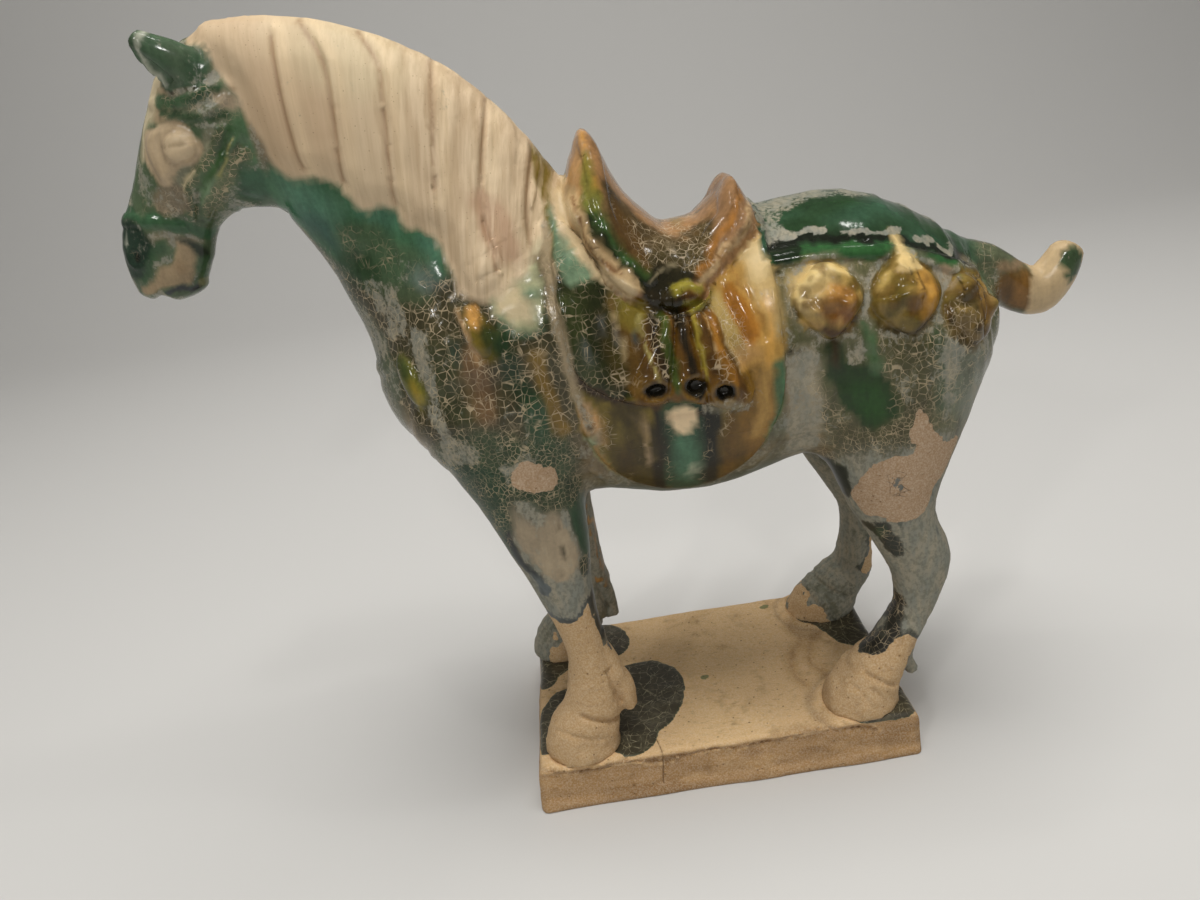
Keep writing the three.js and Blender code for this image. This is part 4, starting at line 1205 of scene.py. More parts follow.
# Skirt of the cover
skirt = patch([(-41, 226), (-31, 227), (-20, 214), (-12, 204), (-15, 182), (-28, 176), (-40, 190)], 3)
lay(tone(28, 32, 11), skirt)
craze(skirt, 0.54)
cloud(skirt, -0.1)
lay(tone(42, 48, 22), run([(-36, 214), (-35.5, 200), (-33, 184)], 6, 4), 0.75)
lay(tone(48, 42, 13), patch([(-23, 212), (-17, 208), (-15, 198), (-18, 184), (-25, 186), (-24.6, 204)], 4), 0.85)
lay(tone(84, 74, 32), patch([(-20, 213), (-13.4, 210), (-12.6, 202), (-18.4, 200), (-20.6, 206)], 3), 0.85)
lay(tone(100, 78, 42), run([(-22.4, 212), (-21.2, 205), (-21, 198)], 2, 2), 0.6)
lay(tone(50, 40, 12), run([(-27, 208), (-26, 196), (-23, 182)], 3, 3), 0.6)
for px, pz in ((-33, 196), (-27, 204), (-21, 199)):
    lay(blue_grey, spot(px, pz, 1, 3.4, 0.1, 2), 0.4)
lay(tone(40, 24, 8), run([(-40, 189), (-30, 179), (-19, 174.5), (-8, 172)], 3.4, 2.4), 0.9)
open_skin = 1 - on_saddle
lay(hair_tone, patch([(-41, 262), (-33, 262), (-30, 244), (-33, 226), (-38, 240)], 3) * open_skin * (1 - hair), 0.9)
wedge = patch([(-38.4, 243.4), (-35, 235), (-30.6, 227), (-27, 219.6), (-31, 218), (-36, 220), (-38.6, 228)], 3)
lay(tone(92, 110, 86), wedge * open_skin, 0.85)
lay(tone(62, 88, 68), run([(-38, 240), (-36, 230), (-33, 222)], 1.6, 2.4) * open_skin, 0.6)
lay(hair_tone, run([(-34, 246), (-30.6, 233), (-25.6, 222)], 2.4, 2) * open_skin, 0.7)
cloud(patch([(-41, 250), (-33, 250), (-28, 222), (-40, 216)], 3), 0.02)
column = run([(-41, 236), (-41.5, 214), (-40.5, 194), (-38.5, 178), (-34, 160)], 4, 2)
lay(tone(126, 112, 88), column, 0.9)
cloud(column, 0.3)
craze(column, 0.5)
for step in range(6):
    bead = spot(-38.6 + 0.7 * step, 178 - 3.6 * step, 0.9, 1.3, 0, 1)
    lay(tone(60, 44, 22), bead, 0.85)

# Saddle tree with its seat
lay(tone(116, 86, 54), on_saddle)
craze(on_saddle, 0.3)
cloud(on_saddle, 0.04)


def on_tree(glaze, cover, strength=1.0):
    lay(glaze, cover * on_saddle, strength)


seat = patch([(-18, 250), (-13, 242), (-4, 231), (6, 225), (16, 228), (24, 236), (22, 228), (14, 220), (7, 213), (-8, 213), (-15, 224), (-19, 238)], 3)
on_tree(tone(56, 46, 26), seat, 0.94)
on_tree(tone(46, 42, 22), spot(2, 217, 13, 6, 0, 6), 0.8)
on_tree(tone(66, 46, 18), patch([(-17, 242), (-12, 236), (-7, 222), (-10, 217), (-16, 228)], 4), 0.8)
on_tree(tone(128, 98, 66), run([(-17, 257), (-12, 244), (-4, 233), (6, 226), (16, 230), (25, 240)], 1.4, 2), 0.6)
# A darker patch in the hollow beside the cantle ridge is painted shade
on_tree(tone(56, 46, 22), patch([(14, 228), (20, 227), (14, 218), (8, 214), (8, 220)], 3), 0.75)
on_tree(tone(46, 36, 16), patch([(-4, 219), (6, 219), (6, 211), (-6, 211)], 3), 0.6)
seat_web = patch([(-12, 234), (-2, 229), (12, 228), (18, 226), (10, 213), (-6, 213)], 4)
craze(on_saddle * seat_web, 0.85)
cloud(on_saddle, -0.1)
fineness = np.maximum(fineness, 0.2 * on_saddle * seat_web)
on_tree(tone(138, 106, 68), patch([(-27, 262), (-22, 268), (-21, 250), (-26, 232), (-31, 242)], 3), 0.9)
on_tree(tone(92, 86, 30), patch([(-23.5, 259), (-20.6, 256), (-20.8, 242), (-25, 236), (-26, 246)], 3), 0.9)
on_tree(tone(146, 106, 50), run([(-22, 265), (-20.9, 256), (-20.4, 246)], 1.4, 1.6), 0.85)
on_tree(tone(122, 104, 34), run([(-21.4, 252), (-21, 243)], 1.4, 1.4), 0.7)
streak = [(-23.8, 243), (-21.6, 236), (-18.2, 228), (-13.8, 220.5), (-9, 215)]
on_tree(tone(42, 62, 26), run(streak, 5.4, 4), 0.95)
on_tree(tone(20, 26, 10), run([(-24.4, 238), (-21.6, 230), (-16.6, 221.5), (-11, 215)], 3, 2.6), 0.95)
on_tree(tone(40, 72, 36), run([(-21.4, 237), (-17.6, 228.4), (-13.6, 221.6)], 1.2, 2.2), 0.7)
on_tree(tone(112, 108, 48), run([(-23.6, 250), (-22.6, 242)], 4, 3), 0.6)
rim_line = [(-31.3, 247), (-29.2, 239.6), (-26.8, 231.5), (-23.9, 225.4), (-19, 219.2), (-13.7, 214)]
rim = run(rim_line, 5.4, 2)
lay(tone(146, 124, 90), rim * (x < -11), 0.95)
rim_foot = run([(-34.4, 246), (-32.4, 238), (-30, 230), (-26.8, 223.2), (-21.8, 216.6), (-15.6, 211.2)], 4, 2)
lay(tone(162, 144, 112), rim_foot * (x < -12), 0.9)
craze(rim, 0.2)
cloud(rim, 0)
beads = run(rim_line, 1.2, 1.2)
lay(tone(84, 54, 30), beads * np.clip(0.9 + 2 * waver(placed, 2.2), 0, 1), 0.9)
on_tree(tone(114, 86, 58), patch([(20, 232), (28, 244), (34, 240), (34, 228), (24, 222), (18, 222)], 3), 0.9)
on_tree(tone(122, 82, 36), run([(30.5, 238), (22.4, 226.3), (15.4, 220.1), (9.7, 214)], 2.2, 1.8), 0.92)
# A thin dark line just in front of the cantle ridge is painted shade
on_tree(tone(84, 54, 20), run([(28.6, 238), (20.4, 226.6), (13.6, 220.4)], 1, 1.2), 0.7)
on_tree(tone(146, 124, 90), run([(35, 234), (27, 224.6), (19, 218), (11, 212)], 2.6, 1.6), 0.9)
on_tree(tone(96, 68, 40), run([(33, 231), (24, 222.2), (18, 217)], 0.7, 1), 0.7)

# Folds below the knot
folds = patch([(-16, 207), (-4, 209), (9, 208), (17, 190), (22.5, 173), (14, 168), (0, 171), (-18, 174)], 2.4)
lay(tone(74, 50, 14), folds)
craze(folds, 0.3)
cloud(folds, 0.02)
lay(tone(72, 52, 18), patch([(-20, 205), (-14, 204), (-9.6, 182), (-19, 180)], 2.4), 0.9)
lay(tone(98, 86, 30), patch([(-19, 208), (-10, 208), (-11, 200), (-18, 200)], 3), 0.8)
lay(tone(60, 40, 14), run([(-13.4, 194), (-12.4, 186), (-11.6, 181)], 3, 3), 0.7)
lay(tone(46, 54, 54), spot(-15.4, 197.6, 1.3, 2.8, 0.1, 1.8), 0.8)
lay(tone(168, 150, 112), run([(-20.6, 206), (-20, 195), (-19, 182)], 0.5, 1), 0.6)
lay(tone(146, 136, 82), run([(-13, 204), (-11, 193), (-9.2, 181)], 1, 1.3), 0.75)
lay(tone(26, 20, 10), run([(-8.2, 205), (-7.4, 194), (-6.4, 182)], 3.6, 2), 0.92)
lay(tone(44, 60, 22), run([(-5, 203), (-3.8, 190), (-2.7, 178)], 3, 2), 0.88)
lay(tone(18, 16, 8), run([(0.2, 206), (1.4, 194), (2.6, 183)], 3.4, 2), 0.92)
lay(tone(128, 114, 42), run([(5, 204), (6, 192), (7.2, 180)], 1.5, 1.4), 0.9)
lay(tone(56, 38, 16), run([(7.8, 202), (9, 192), (10.2, 182)], 2, 1.6), 0.85)
lay(tone(116, 78, 26), run([(10.6, 201), (13.4, 190), (17, 178)], 4.6, 2.4), 0.92)
# A lighter line on the right-hand fold is a painted highlight
lay(tone(146, 102, 42), run([(11, 199), (13.6, 189)], 1.2, 1.8), 0.7)
lay(tone(164, 146, 108), run([(8.6, 203), (10.4, 194), (13, 184)], 0.4, 0.9), 0.55)
lay(tone(164, 146, 108), run([(12.8, 202), (17, 190), (21, 180)], 0.5, 1), 0.6)
lay(tone(62, 40, 12), run([(17.6, 186), (20.6, 175)], 2.4, 2), 0.6)
craze(run([(-8.2, 204), (-7.4, 194), (-6.6, 184)], 4, 2), 0.9)
craze(spot(14, 184, 4, 5, 0.3, 3), 0.9)
# Each fold mouth is painted black as the shade inside its opening, with an amber-brown ring round it
for x0, z0, half_x, half_z in fold_mouths:
    mouth = spot(x0, z0, half_x, half_z, 0, 1.4)
    ring = spot(x0, z0, half_x + 1.8, half_z + 1.8, 0, 1.4) * (1 - mouth)
    lay(tone(100, 76, 30), ring, 0.5)
    lay(black_glaze, mouth, 0.97)
    cloud(mouth, 0)
lay(tone(44, 66, 40), patch([(-7, 174), (0, 173), (6, 171), (4, 168), (-8, 169)], 2.4), 0.85)
lay(tone(120, 114, 92), patch([(7, 171), (20, 170), (24, 166), (10, 165)], 2.4) * blanket, 0.5)
cloud(patch([(6, 172), (22, 170), (24, 164), (8, 163)], 3), 0.46)
cream_spot = patch([(-7.6, 167.6), (-4.6, 169.6), (1, 169.4), (3.2, 165.8), (0, 161.8), (-3.2, 159), (-6.4, 162)], 1.8)
lay(tone(196, 174, 140), cream_spot * blanket, 0.95)
lay(tone(156, 128, 100), run([(-7, 166.4), (-2, 166), (3, 166)], 1.4, 2) * blanket, 0.6)

# The knot, tied over the lower end of the tree
knot = patch([(-10.5, 215), (-3, 219), (8, 216), (10, 213), (3, 210), (4, 204), (-4, 203.5), (-10, 208)], 2)
lay(tone(24, 22, 10), knot, 0.95)
craze(knot, 0.2)
cloud(knot, 0)
lay(tone(140, 128, 100), run([(-9, 215), (-2, 217.5), (4, 218)], 0.8, 1.2), 0.5)
lay(tone(98, 90, 28), run([(1.6, 210.4), (5.6, 210.8), (10, 209.4)], 3.6, 1.6), 0.95)
lay(tone(92, 86, 28), run([(4, 204.8), (10, 204.8)], 2.6, 1.6), 0.95)
lay(tone(40, 22, 8), run([(0.6, 207.6), (8, 207.2)], 0.8, 1.2), 0.85)
lay(tone(128, 118, 50), run([(3, 211), (9, 210.4)], 0.8, 1.2), 0.5)

# Croup, crupper strap and bosses
rump = patch([(38, 216), (60, 213), (84, 210), (108, 200), (122, 186), (118, 160), (104, 136), (70, 140), (48, 150), (38, 180)], 8)
lay(tone(70, 70, 46), rump, 0.9)
craze(rump, 0.5)
cloud(rump, 0.34)
croup = patch([(36, 216), (42, 226), (62, 231), (84, 227), (100, 217), (116, 204), (126, 196), (112, 200), (96, 209), (74, 215), (52, 218)], 4)
top_of_back = np.clip((z - np.interp(x, [36, 60, 90, 115], [214, 211, 207, 192])) / 4, 0, 1) * (x > 34) * (x < 122)
croup = np.maximum(croup, top_of_back)
lay(tone(29, 48, 28), croup)
craze(croup, 0.08)
cloud(croup, -0.12)
lay(deep_green, croup * np.clip(0.3 + 1.2 * waver(placed, (14, 14, 6)), 0, 1), 0.7)
lay(teal, croup * np.clip(0.2 - waver(placed, (12, 12, 7)), 0, 1), 0.3)
crown_of_croup = np.clip((z - np.interp(x, [36, 60, 84, 110], [224, 228.5, 224.5, 208])) / 2, 0, 1)
cloud(croup * crown_of_croup, 0.66)
cloud(croup * patch([(35, 222), (40, 229), (50, 231.5), (46, 225), (40, 217)], 4), 0.6)
strap = run(crupper_run, 4.6, 1.6) * (x > 36) * (x < 122)
lay(tone(36, 70, 36), strap)
cloud(strap, 0.02)
craze(strap, 0.05)
lay(black_glaze, run([(36, 219.6), (60, 217.8), (80, 214.6), (100, 206.2), (112, 199.6)], 2.8, 1.6) * (x > 36), 0.9)
for places in ([(43, 221), (57, 220)], [(64, 219.4), (84, 215.8)], [(90, 213), (104, 206)]):
    cloud(run(places, 2, 1.6), 1.15)
lay(black_glaze, patch([(36, 219.5), (47, 217.5), (46, 213), (37, 212)], 2), 0.85)
leaf = patch([(51, 179), (63, 175), (76.4, 160.5), (68, 147.4), (56, 160)], 2.2)
lay(tone(18, 42, 8), leaf, 0.97)
lay(tone(24, 58, 16), spot(65, 160, 5, 8, 0.4, 6), 0.7)
lay(tone(26, 40, 16), patch([(50, 184), (56, 185), (56, 174), (51, 172)], 3), 0.9)
lay(tone(60, 88, 58), run([(67, 190), (67.5, 180), (68, 172)], 4.6, 3), 0.75)
for clear in (leaf, run([(67, 190), (67.5, 180), (68, 172)], 4, 3), spot(53, 181, 3, 6, 0, 3)):
    cloud(clear, -0.14)
    craze(clear, 0.05)
lay(tone(58, 56, 32), patch([(72, 188), (92, 186), (92, 162), (80, 152), (74, 164)], 5), 0.8)
craze(patch([(72, 188), (94, 184), (98, 160), (84, 146), (72, 156)], 6), 0.74)
low_rump = patch([(56, 152), (66, 148), (84, 157), (88, 146), (80, 138), (64, 136), (54, 140)], 5)
craze(low_rump, 1)
lay(tone(58, 54, 32), low_rump, 0.8)
fineness = np.maximum(fineness, low_rump)
cloud(low_rump, 0.1)
lay(tone(84, 90, 76), spot(101, 164, 11, 20, 0.2, 8), 0.8)
lay(tone(44, 66, 44), run([(89, 184), (92, 170), (93, 154)], 5, 4), 0.6)
pale_haze = patch([(38, 181), (48, 178), (48.5, 150), (46, 134), (38, 136)], 4)
cloud(pale_haze, 0.7)
lay(tone(132, 122, 102), pale_haze, 0.9)
narrow_crackle = patch([(49, 174), (53, 162), (58, 140), (54, 132), (49, 140)], 3)
craze(narrow_crackle, 0.95)
cloud(narrow_crackle, 0.2)
cloud(patch([(57, 184), (65, 180), (63, 174), (57, 176)], 3), 0.7)
cloud(patch([(94, 184), (98, 184), (96, 150), (92, 150)], 3), 0.66)
cloud(patch([(104, 178), (116, 182), (112, 150), (102, 148)], 6), 0.45)
lay(tone(132, 114, 92), patch([(93, 203), (101, 201), (98.6, 195), (95, 195)], 2), 0.9)
cloud(patch([(93, 203), (101, 201), (98.6, 195), (95, 195)], 2), 0.1)
lay(black_glaze, spot(38.6, 208.3, 1.2, 1.8, 0, 1.2), 0.9)
for px, pz in ((38.6, 183.5), (41.4, 182), (40.6, 178.6), (43.6, 178.6)):
    lay(black_glaze, spot(px, pz, 1.2, 1, 0.4, 1.2), 0.8)
for (x0, z0, radius, _), (below, above) in zip(bosses, boss_tips):
    whole = spot(x0, z0, radius + 0.2, radius + 0.2, 0, 1.4)
    whole = np.maximum(whole, spot(x0, z0 - radius * 0.5, radius * 0.5, radius * (0.5 + below), 0, 1.4))
    whole = np.maximum(whole, spot(x0, z0 + radius * 0.5, radius * 0.5, radius * (0.5 + above), 0, 1.4))
    outline = spot(x0, z0, radius + 2.6, radius + 2.6, 0, 2) * (1 - whole)
    cloud(outline, 0.55)
    lay(tone(112, 104, 84), outline, 0.5)
    lay(tone(92, 76, 32), whole)
    craze(whole, 0.1)
    cloud(whole, 0.02)
lay(tone(168, 146, 98), spot(49, 204, 8, 8, 0.5, 5), 0.85)
lay(tone(124, 86, 38), spot(55.4, 198.4, 6.8, 6.6, 0, 4), 0.92)
lay(tone(92, 54, 16), spot(57, 195.5, 4.4, 3.4, 0.3, 3), 0.7)
lay(tone(190, 170, 118), run([(43, 199), (46.6, 206), (54, 210), (61, 208)], 1.6, 2.4), 0.75)
lay(tone(46, 28, 8), run([(46, 192.4), (51, 189), (57, 188.4), (63, 193)], 2.8, 2.4), 0.92)
lay(tone(134, 110, 58), run([(43.6, 196), (45, 191)], 1.6, 2), 0.6)
lay(tone(46, 34, 12), run([(53.4, 189), (53.2, 184), (52.6, 177)], 2.2, 2), 0.92)
lay(tone(70, 60, 18), spot(78, 191, 7, 8.4, 0.3, 4), 0.85)
lay(tone(146, 106, 44), spot(87, 197, 4.4, 8.6, 0, 4), 0.85)
lay(tone(150, 128, 72), run([(71.4, 200), (76, 205.4), (82, 208)], 2, 2.6), 0.8)
lay(tone(178, 156, 108), patch([(80, 216), (82.4, 216), (84, 211), (88, 205), (78, 205), (80.4, 211)], 2), 0.9)
lay(tone(34, 28, 10), run([(71, 189), (74, 186), (80, 184.2), (88, 187.4)], 2.6, 2.4), 0.88)
lay(tone(84, 54, 18), spot(81.5, 195, 2.4, 3.4, 0, 3), 0.6)
lay(tone(54, 46, 24), spot(104.5, 186, 9.6, 11, 0, 3), 0.85)
lay(tone(42, 34, 17), spot(101, 180, 5, 6.4, 0.3, 4), 0.85)
lay(tone(104, 76, 32), spot(110, 188, 3.6, 7, 0, 4), 0.75)
craze(spot(100.5, 183, 6.4, 9, 0.2, 3), 0.9)
for (x0, z0, radius, _), strength in zip(bosses, (0.36, 0.14, 0.14)):
    whole = spot(x0, z0, radius, radius, 0, 2)
    lay(tone(190, 156, 92), whole * np.clip(waver(placed + 9, 3.6) * 2, 0, 1), strength)
    lay(tone(72, 44, 14), whole * np.clip(-waver(placed + 9, 3.6) * 2, 0, 1), 0.2 + strength)

# Tail
tail_skin = np.clip((x - 116) / 6, 0, 1) * (z > 166)
lay(tone(66, 74, 54), tail_skin, 0.85)
cloud(tail_skin, 0.28)
craze(tail_skin, 0.6)
tail_clear = tail_skin * np.clip((x - 128) / 4, 0, 1)
cloud(tail_clear, 0.02)
craze(tail_clear, 0.06)
lay(tone(80, 56, 22), tail_skin * patch([(128, 189), (134, 190), (143, 186), (142.5, 174), (134, 175), (127, 181)], 3), 0.95)
lay(tone(60, 40, 12), tail_skin * spot(132, 180, 3, 4, 0, 4), 0.6)
lay(tone(112, 78, 34), tail_skin * spot(138, 181, 3, 6, 0, 4), 0.7)
lay(tone(156, 136, 104), tail_skin * patch([(141, 200), (162, 204), (167, 186), (158, 168), (141, 168), (142.4, 186)], 2))
lay(tone(120, 96, 72), tail_skin * run([(129, 193), (139, 191)], 3, 2), 0.7)
tip = patch([(156, 194.6), (159.4, 195.6), (163, 192), (162.4, 183), (158, 179.6), (154.4, 182.6), (157, 186), (154, 188)], 1.4)
lay(tone(34, 58, 36), tail_skin * tip, 0.95)

# Belly and legs
belly = np.clip((138 - z) / 8, 0, 1) * (x > -40) * (x < 60) * (z > 110) * (1 - blanket)
cloud(belly, 0.3)
lay(tone(46, 54, 38), belly, 0.85)
leg_skin = np.clip((146 - z) / 14, 0, 1) * np.clip((np.abs(x - 8) - 44) / 8, 0, 1)
lay(tone(84, 84, 74), leg_skin, 0.85)
cloud(leg_skin, 0.92)
scores = leg_skin * np.clip(waver(placed, (1.5, 1.5, 9)) * 3 - 1.5, 0, 1)
lay(tone(56, 62, 56), scores, 0.8)
cloud(scores, 0.3)
craze(leg_skin, 0.08)
fore, hind = (x < -20) * leg_skin, (x > 20) * leg_skin
near_fore, far_fore, near_hind, far_hind = fore * near, fore * far, hind * near, hind * far
leg_front = near * (z < 158) * patch([(-90, 158), (-70, 155), (-69, 140), (-71, 126), (-74, 116), (-86, 128)], 3)
lay(tone(26, 46, 28), leg_front, 0.94)
cloud(leg_front, 0.1)
craze(leg_front, 0.66)
fineness = np.maximum(fineness, leg_front)
under_bare = near * patch([(-68, 146), (-60, 149), (-45, 148), (-43, 139), (-46, 134), (-56, 136), (-60, 142)], 3)
lay(tone(34, 46, 26), under_bare, 0.92)
cloud(under_bare, -0.05)
craze(under_bare, 1)
fineness = np.maximum(fineness, under_bare)
shin = near_fore * patch([(-71, 139), (-66, 140), (-60, 133), (-56, 137), (-53, 135), (-49.5, 122), (-49, 112), (-54, 106), (-60, 107), (-66, 116), (-70, 126)], 3)
lay(tone(132, 118, 96), shin, 0.92)
cloud(shin, 0.3)
dark_run = near_fore * run([(-73, 128), (-70.8, 117), (-66.4, 110), (-63, 103)], 3.4, 1.6)
lay(tone(18, 24, 24), dark_run, 0.96)
cloud(dark_run, -0.1)
green_strip = near_fore * patch([(-47.8, 135), (-43, 137), (-42.5, 120), (-45, 111), (-47.5, 117), (-48.6, 127)], 2)
lay(tone(26, 52, 30), green_strip, 0.95)
cloud(green_strip, -0.1)
dark_patch = near_fore * spot(-46.8, 108.4, 2.6, 4.4, 0, 1.6)
lay(tone(30, 40, 26), dark_patch, 0.95)
cloud(dark_patch, -0.1)
craze(dark_patch, 1)
broken_run = near_fore * run([(-54.2, 138), (-54, 129), (-53.6, 121), (-54.4, 110)], 1.2, 1.4)
lay(tone(46, 40, 26), broken_run * np.clip(0.6 + 2 * waver(placed, 1.8), 0, 1), 0.9)
cloud(broken_run, 0)
lay(tone(84, 90, 90), near_fore * patch([(-70, 108), (-60, 106), (-46, 104), (-44, 92), (-62, 86), (-74, 92)], 5), 0.7)
lay(tone(40, 64, 42), far_fore * run([(-42, 130), (-43, 100), (-40, 76)], 4, 3), 0.8)
tan_strip = far_fore * run([(-43.4, 106), (-43, 88), (-42.6, 70), (-41.6, 56)], 2.6, 1.6)
lay(tone(140, 104, 56), tan_strip, 0.95)
cloud(tan_strip, -0.1)
lay(grey_green, far_hind, 0.6)
cloud(far_hind, 0.8)
thigh_marks = near * patch([(51, 132), (57, 133), (61, 124), (60, 117), (55, 120), (52, 126)], 2)
thigh_marks = np.maximum(thigh_marks, near_hind * patch([(64, 106), (72, 107.6), (77.4, 97), (76.6, 90), (72.6, 93), (68.4, 100)], 2))
lay(tone(20, 24, 16), thigh_marks, 0.92)
lay(tone(40, 56, 34), near_hind * spot(70, 103, 2, 3, 0, 2), 0.6)
cloud(thigh_marks, 0.05)
craze(near_hind * patch([(68, 108), (76, 106), (79, 92), (74, 88)], 4), 0.6)

# Clay left bare, with a dark thick edge where the glaze stopped
clay_edges = [
    (near, [(-72, 88), (-62, 88), (-57, 87), (-51, 89.5), (-47, 94), (-46, 85), (-45.5, 76), (-42, 68), (-34, 60), (-30, 40), (-36, 16), (-84, 16), (-80, 40)]),
    (near, [(54, 43), (60, 44), (68, 47), (74, 53), (78, 54.5), (83, 52), (85, 47), (80, 44), (78, 30), (82, 16), (40, 16), (40, 40)]),
    (far, [(-73, 29), (-66, 33), (-56, 39), (-51, 36), (-49, 18), (-62, 16), (-74, 21)]),
    (far, [(46, 19), (48, 28), (52, 33), (57, 34), (61, 30), (62.5, 24), (60, 17)]),
    (far, [(84, 58), (90, 60), (92, 50), (89, 40), (84, 42)]),
]
for side, places in clay_edges:
    low = side * (z < 100)
    edge = low * patch(places, 2)
    wider = low * covered(places, 5, lambda points: to_outline(points, places) - 2)
    lay(black_glaze, wider * (1 - edge), 0.85)
    cloud(wider, 0.06)
    bare = np.maximum(bare, edge)
lay(black_glaze, near * run([(-45.5, 96), (-45, 84), (-45, 72)], 2.2, 1.6) * (z < 98), 0.9)
bare = bare * (1 - near * run([(-45.5, 97), (-45, 84), (-44.5, 70)], 2.4, 1.2))
shin_run = near * patch([(77.6, 71), (80.4, 68), (77.6, 60), (74, 52), (67, 46), (60, 44.6), (64, 48.6), (71, 55), (74.4, 61)], 2) * (z > 44)
lay(tone(22, 20, 14), shin_run, 0.94)
cloud(shin_run, 0)
craze(shin_run, 0.8)
lay(tone(100, 92, 74), near * spot(83, 40, 3.4, 10, -0.1, 2) * (x > 78), 0.9)
far_hooves = far * (z < 44) * (slab_top < z)
lay(tone(84, 84, 70), far_hooves, 0.8)
cloud(far_hooves, 0.62)
bare_patch = patch([(61, 122), (64, 130), (70, 136), (82, 139), (80, 148), (83, 155), (88, 149), (92, 141), (101, 138), (98, 128), (91, 120), (88, 112), (79, 108), (68, 110), (62, 116)], 3)
bare = np.maximum(bare, bare_patch * (y < -15))
bare = np.maximum(bare, near * patch([(-66, 156), (-60, 158), (-50, 152), (-53, 146), (-65, 148)], 3))
chip = near * spot(76, 125, 3.6, 4.6, 0.4, 9)
feet = np.clip((slab_top + 2.4 - z) / 1.6, 0, 1)
lay(black_glaze, feet, 0.5)
# Dark glaze is streaked where it ran and pale glaze is even
run_depth = 0.36 * np.clip(1.3 - 2.5 * paint.mean(1), 0.2, 1)


def note_on(piece, name, values):
    """Stores one value or colour for each point of a piece"""
    colours = values.ndim == 2
    kind = "FLOAT_COLOR" if colours else "FLOAT"
    layer = piece.data.attributes.new(name, kind, "POINT")
    if colours:
        values = np.concatenate([values, np.ones((len(values), 1))], 1)
    layer.data.foreach_set("color" if colours else "value", values.astype("f").ravel())


for name, values in (
    ("glaze_colour", np.clip(paint, 0, 1)),
    ("film_cover", film),
    ("crackle_cover", crackle),
    ("fine_crackle", fineness),
    ("bare_clay", bare),
    ("hair_cover", hair),
    ("strand_place", strand_place(placed) / 100),
    ("chipped", chip),
    ("run_depth", run_depth),
):
    note_on(horse, name, values)


class Recipe:
    """Adds nodes to one material or group: each input is a value or an output"""

    def __init__(self, tree):
        self.tree = tree

    def add(self, kind, inputs=None, **settings):
        made = self.tree.nodes.new("ShaderNode" + kind)
        for name, value in settings.items():
            setattr(made, name, value)
        for socket, value in (inputs or {}).items():
            if isinstance(value, bpy.types.NodeSocket):
                self.tree.links.new(value, made.inputs[socket])
            else:
                made.inputs[socket].default_value = value
        return made.outputs

    def math(self, operation, *values):
        return self.add("Math", dict(enumerate(values)), operation=operation)[0]

    def step(self, value, start, end, low=0.0, high=1.0):
        inputs = {0: value, 1: start, 2: end, 3: low, 4: high}
        return self.add("MapRange", inputs, interpolation_type="SMOOTHSTEP")[0]

    def mix(self, share, first, second, blend="MIX"):
        inputs = {0: share, 6: first, 7: second}
        return self.add("Mix", inputs, data_type="RGBA", blend_type=blend)[2]

    def noise(self, place, size, detail=3.0, rough=0.55):
        inputs = {"Vector": place, "Scale": 1 / size, "Detail": detail, "Roughness": rough}
        return self.add("TexNoise", inputs)[0]

    def stretch(self, place, across, along):
        inputs = {0: place, 1: (1 / across, 1 / across, 1 / along)}
        return self.add("VectorMath", inputs, operation="MULTIPLY")[0]

    def places(self):
        """Where each point of the piece is, in millimetres"""
        spot = self.add("TexCoord")["Object"]
        return self.add("VectorMath", {0: spot, "Scale": 1000}, operation="SCALE")[0]

    def noted(self, name):
        return self.add("Attribute", attribute_name=name)


def shared_effect(name, inputs, outputs):
    """A node group whose named inputs have these first values"""
    tree = bpy.data.node_groups.new(name, "ShaderNodeTree")
    for socket, value in inputs.items():
        kind = "NodeSocketColor" if isinstance(value, tuple) else "NodeSocketFloat"
        made = tree.interface.new_socket(socket, in_out="INPUT", socket_type=kind)
        made.default_value = value
    for socket, kind in outputs.items():
        tree.interface.new_socket(socket, in_out="OUTPUT", socket_type="NodeSocket" + kind)
    recipe = Recipe(tree)
    given = tree.nodes.new("NodeGroupInput").outputs
    result = tree.nodes.new("NodeGroupOutput").inputs
    return tree, recipe, given, result


# Crackle: a net of short cracks with longer ones across it, open here and
# there and closed elsewhere
crackle_net, net, given, result = shared_effect(
    "crackle_net", {"Cell Size": 3.0, "Line Width": 0.26, "Cover": 1.0}, {"Lines": "Float"}
)
places = net.places()
wobble = net.add("TexNoise", {"Vector": places, "Scale": 1 / 6, "Detail": 1.0})["Color"]
wobble = net.add("VectorMath", {0: wobble, "Scale": 0.8}, operation="SCALE")[0]
bent = net.add("VectorMath", {0: places, 1: wobble}, operation="ADD")[0]
breaks = net.noise(places, 6, 2.0)
width = net.math("MULTIPLY", given["Line Width"], net.step(breaks, 0.3, 0.7, 0.7, 1.5))
lines = 0.0
for share, strength in ((1.15, 1.0), (3.2, 0.6)):
    cell = net.math("MULTIPLY", given["Cell Size"], share)
    scaled = net.add("VectorMath", {0: bent, "Scale": net.math("DIVIDE", 1.0, cell)}, operation="SCALE")[0]
    edge = net.add(
        "TexVoronoi", {"Vector": scaled, "Scale": 1.0, "Randomness": 0.85}, feature="DISTANCE_TO_EDGE"
    )["Distance"]
    edge = net.math("DIVIDE", net.math("MULTIPLY", edge, cell), width)
    lines = net.math("MAXIMUM", lines, net.step(edge, 1.0, 0.25, 0.0, strength))
faded = net.step(net.noise(places, 3.2, 2.0), 0.36, 0.6, 0.25, 1.0)
opened = net.math("ADD", given["Cover"], net.math("MULTIPLY", net.math("SUBTRACT", breaks, 0.5), 1.2))
opened = net.math("MULTIPLY", faded, net.step(opened, 0.3, 0.8))
net.tree.links.new(net.math("MULTIPLY", lines, opened), result["Lines"])

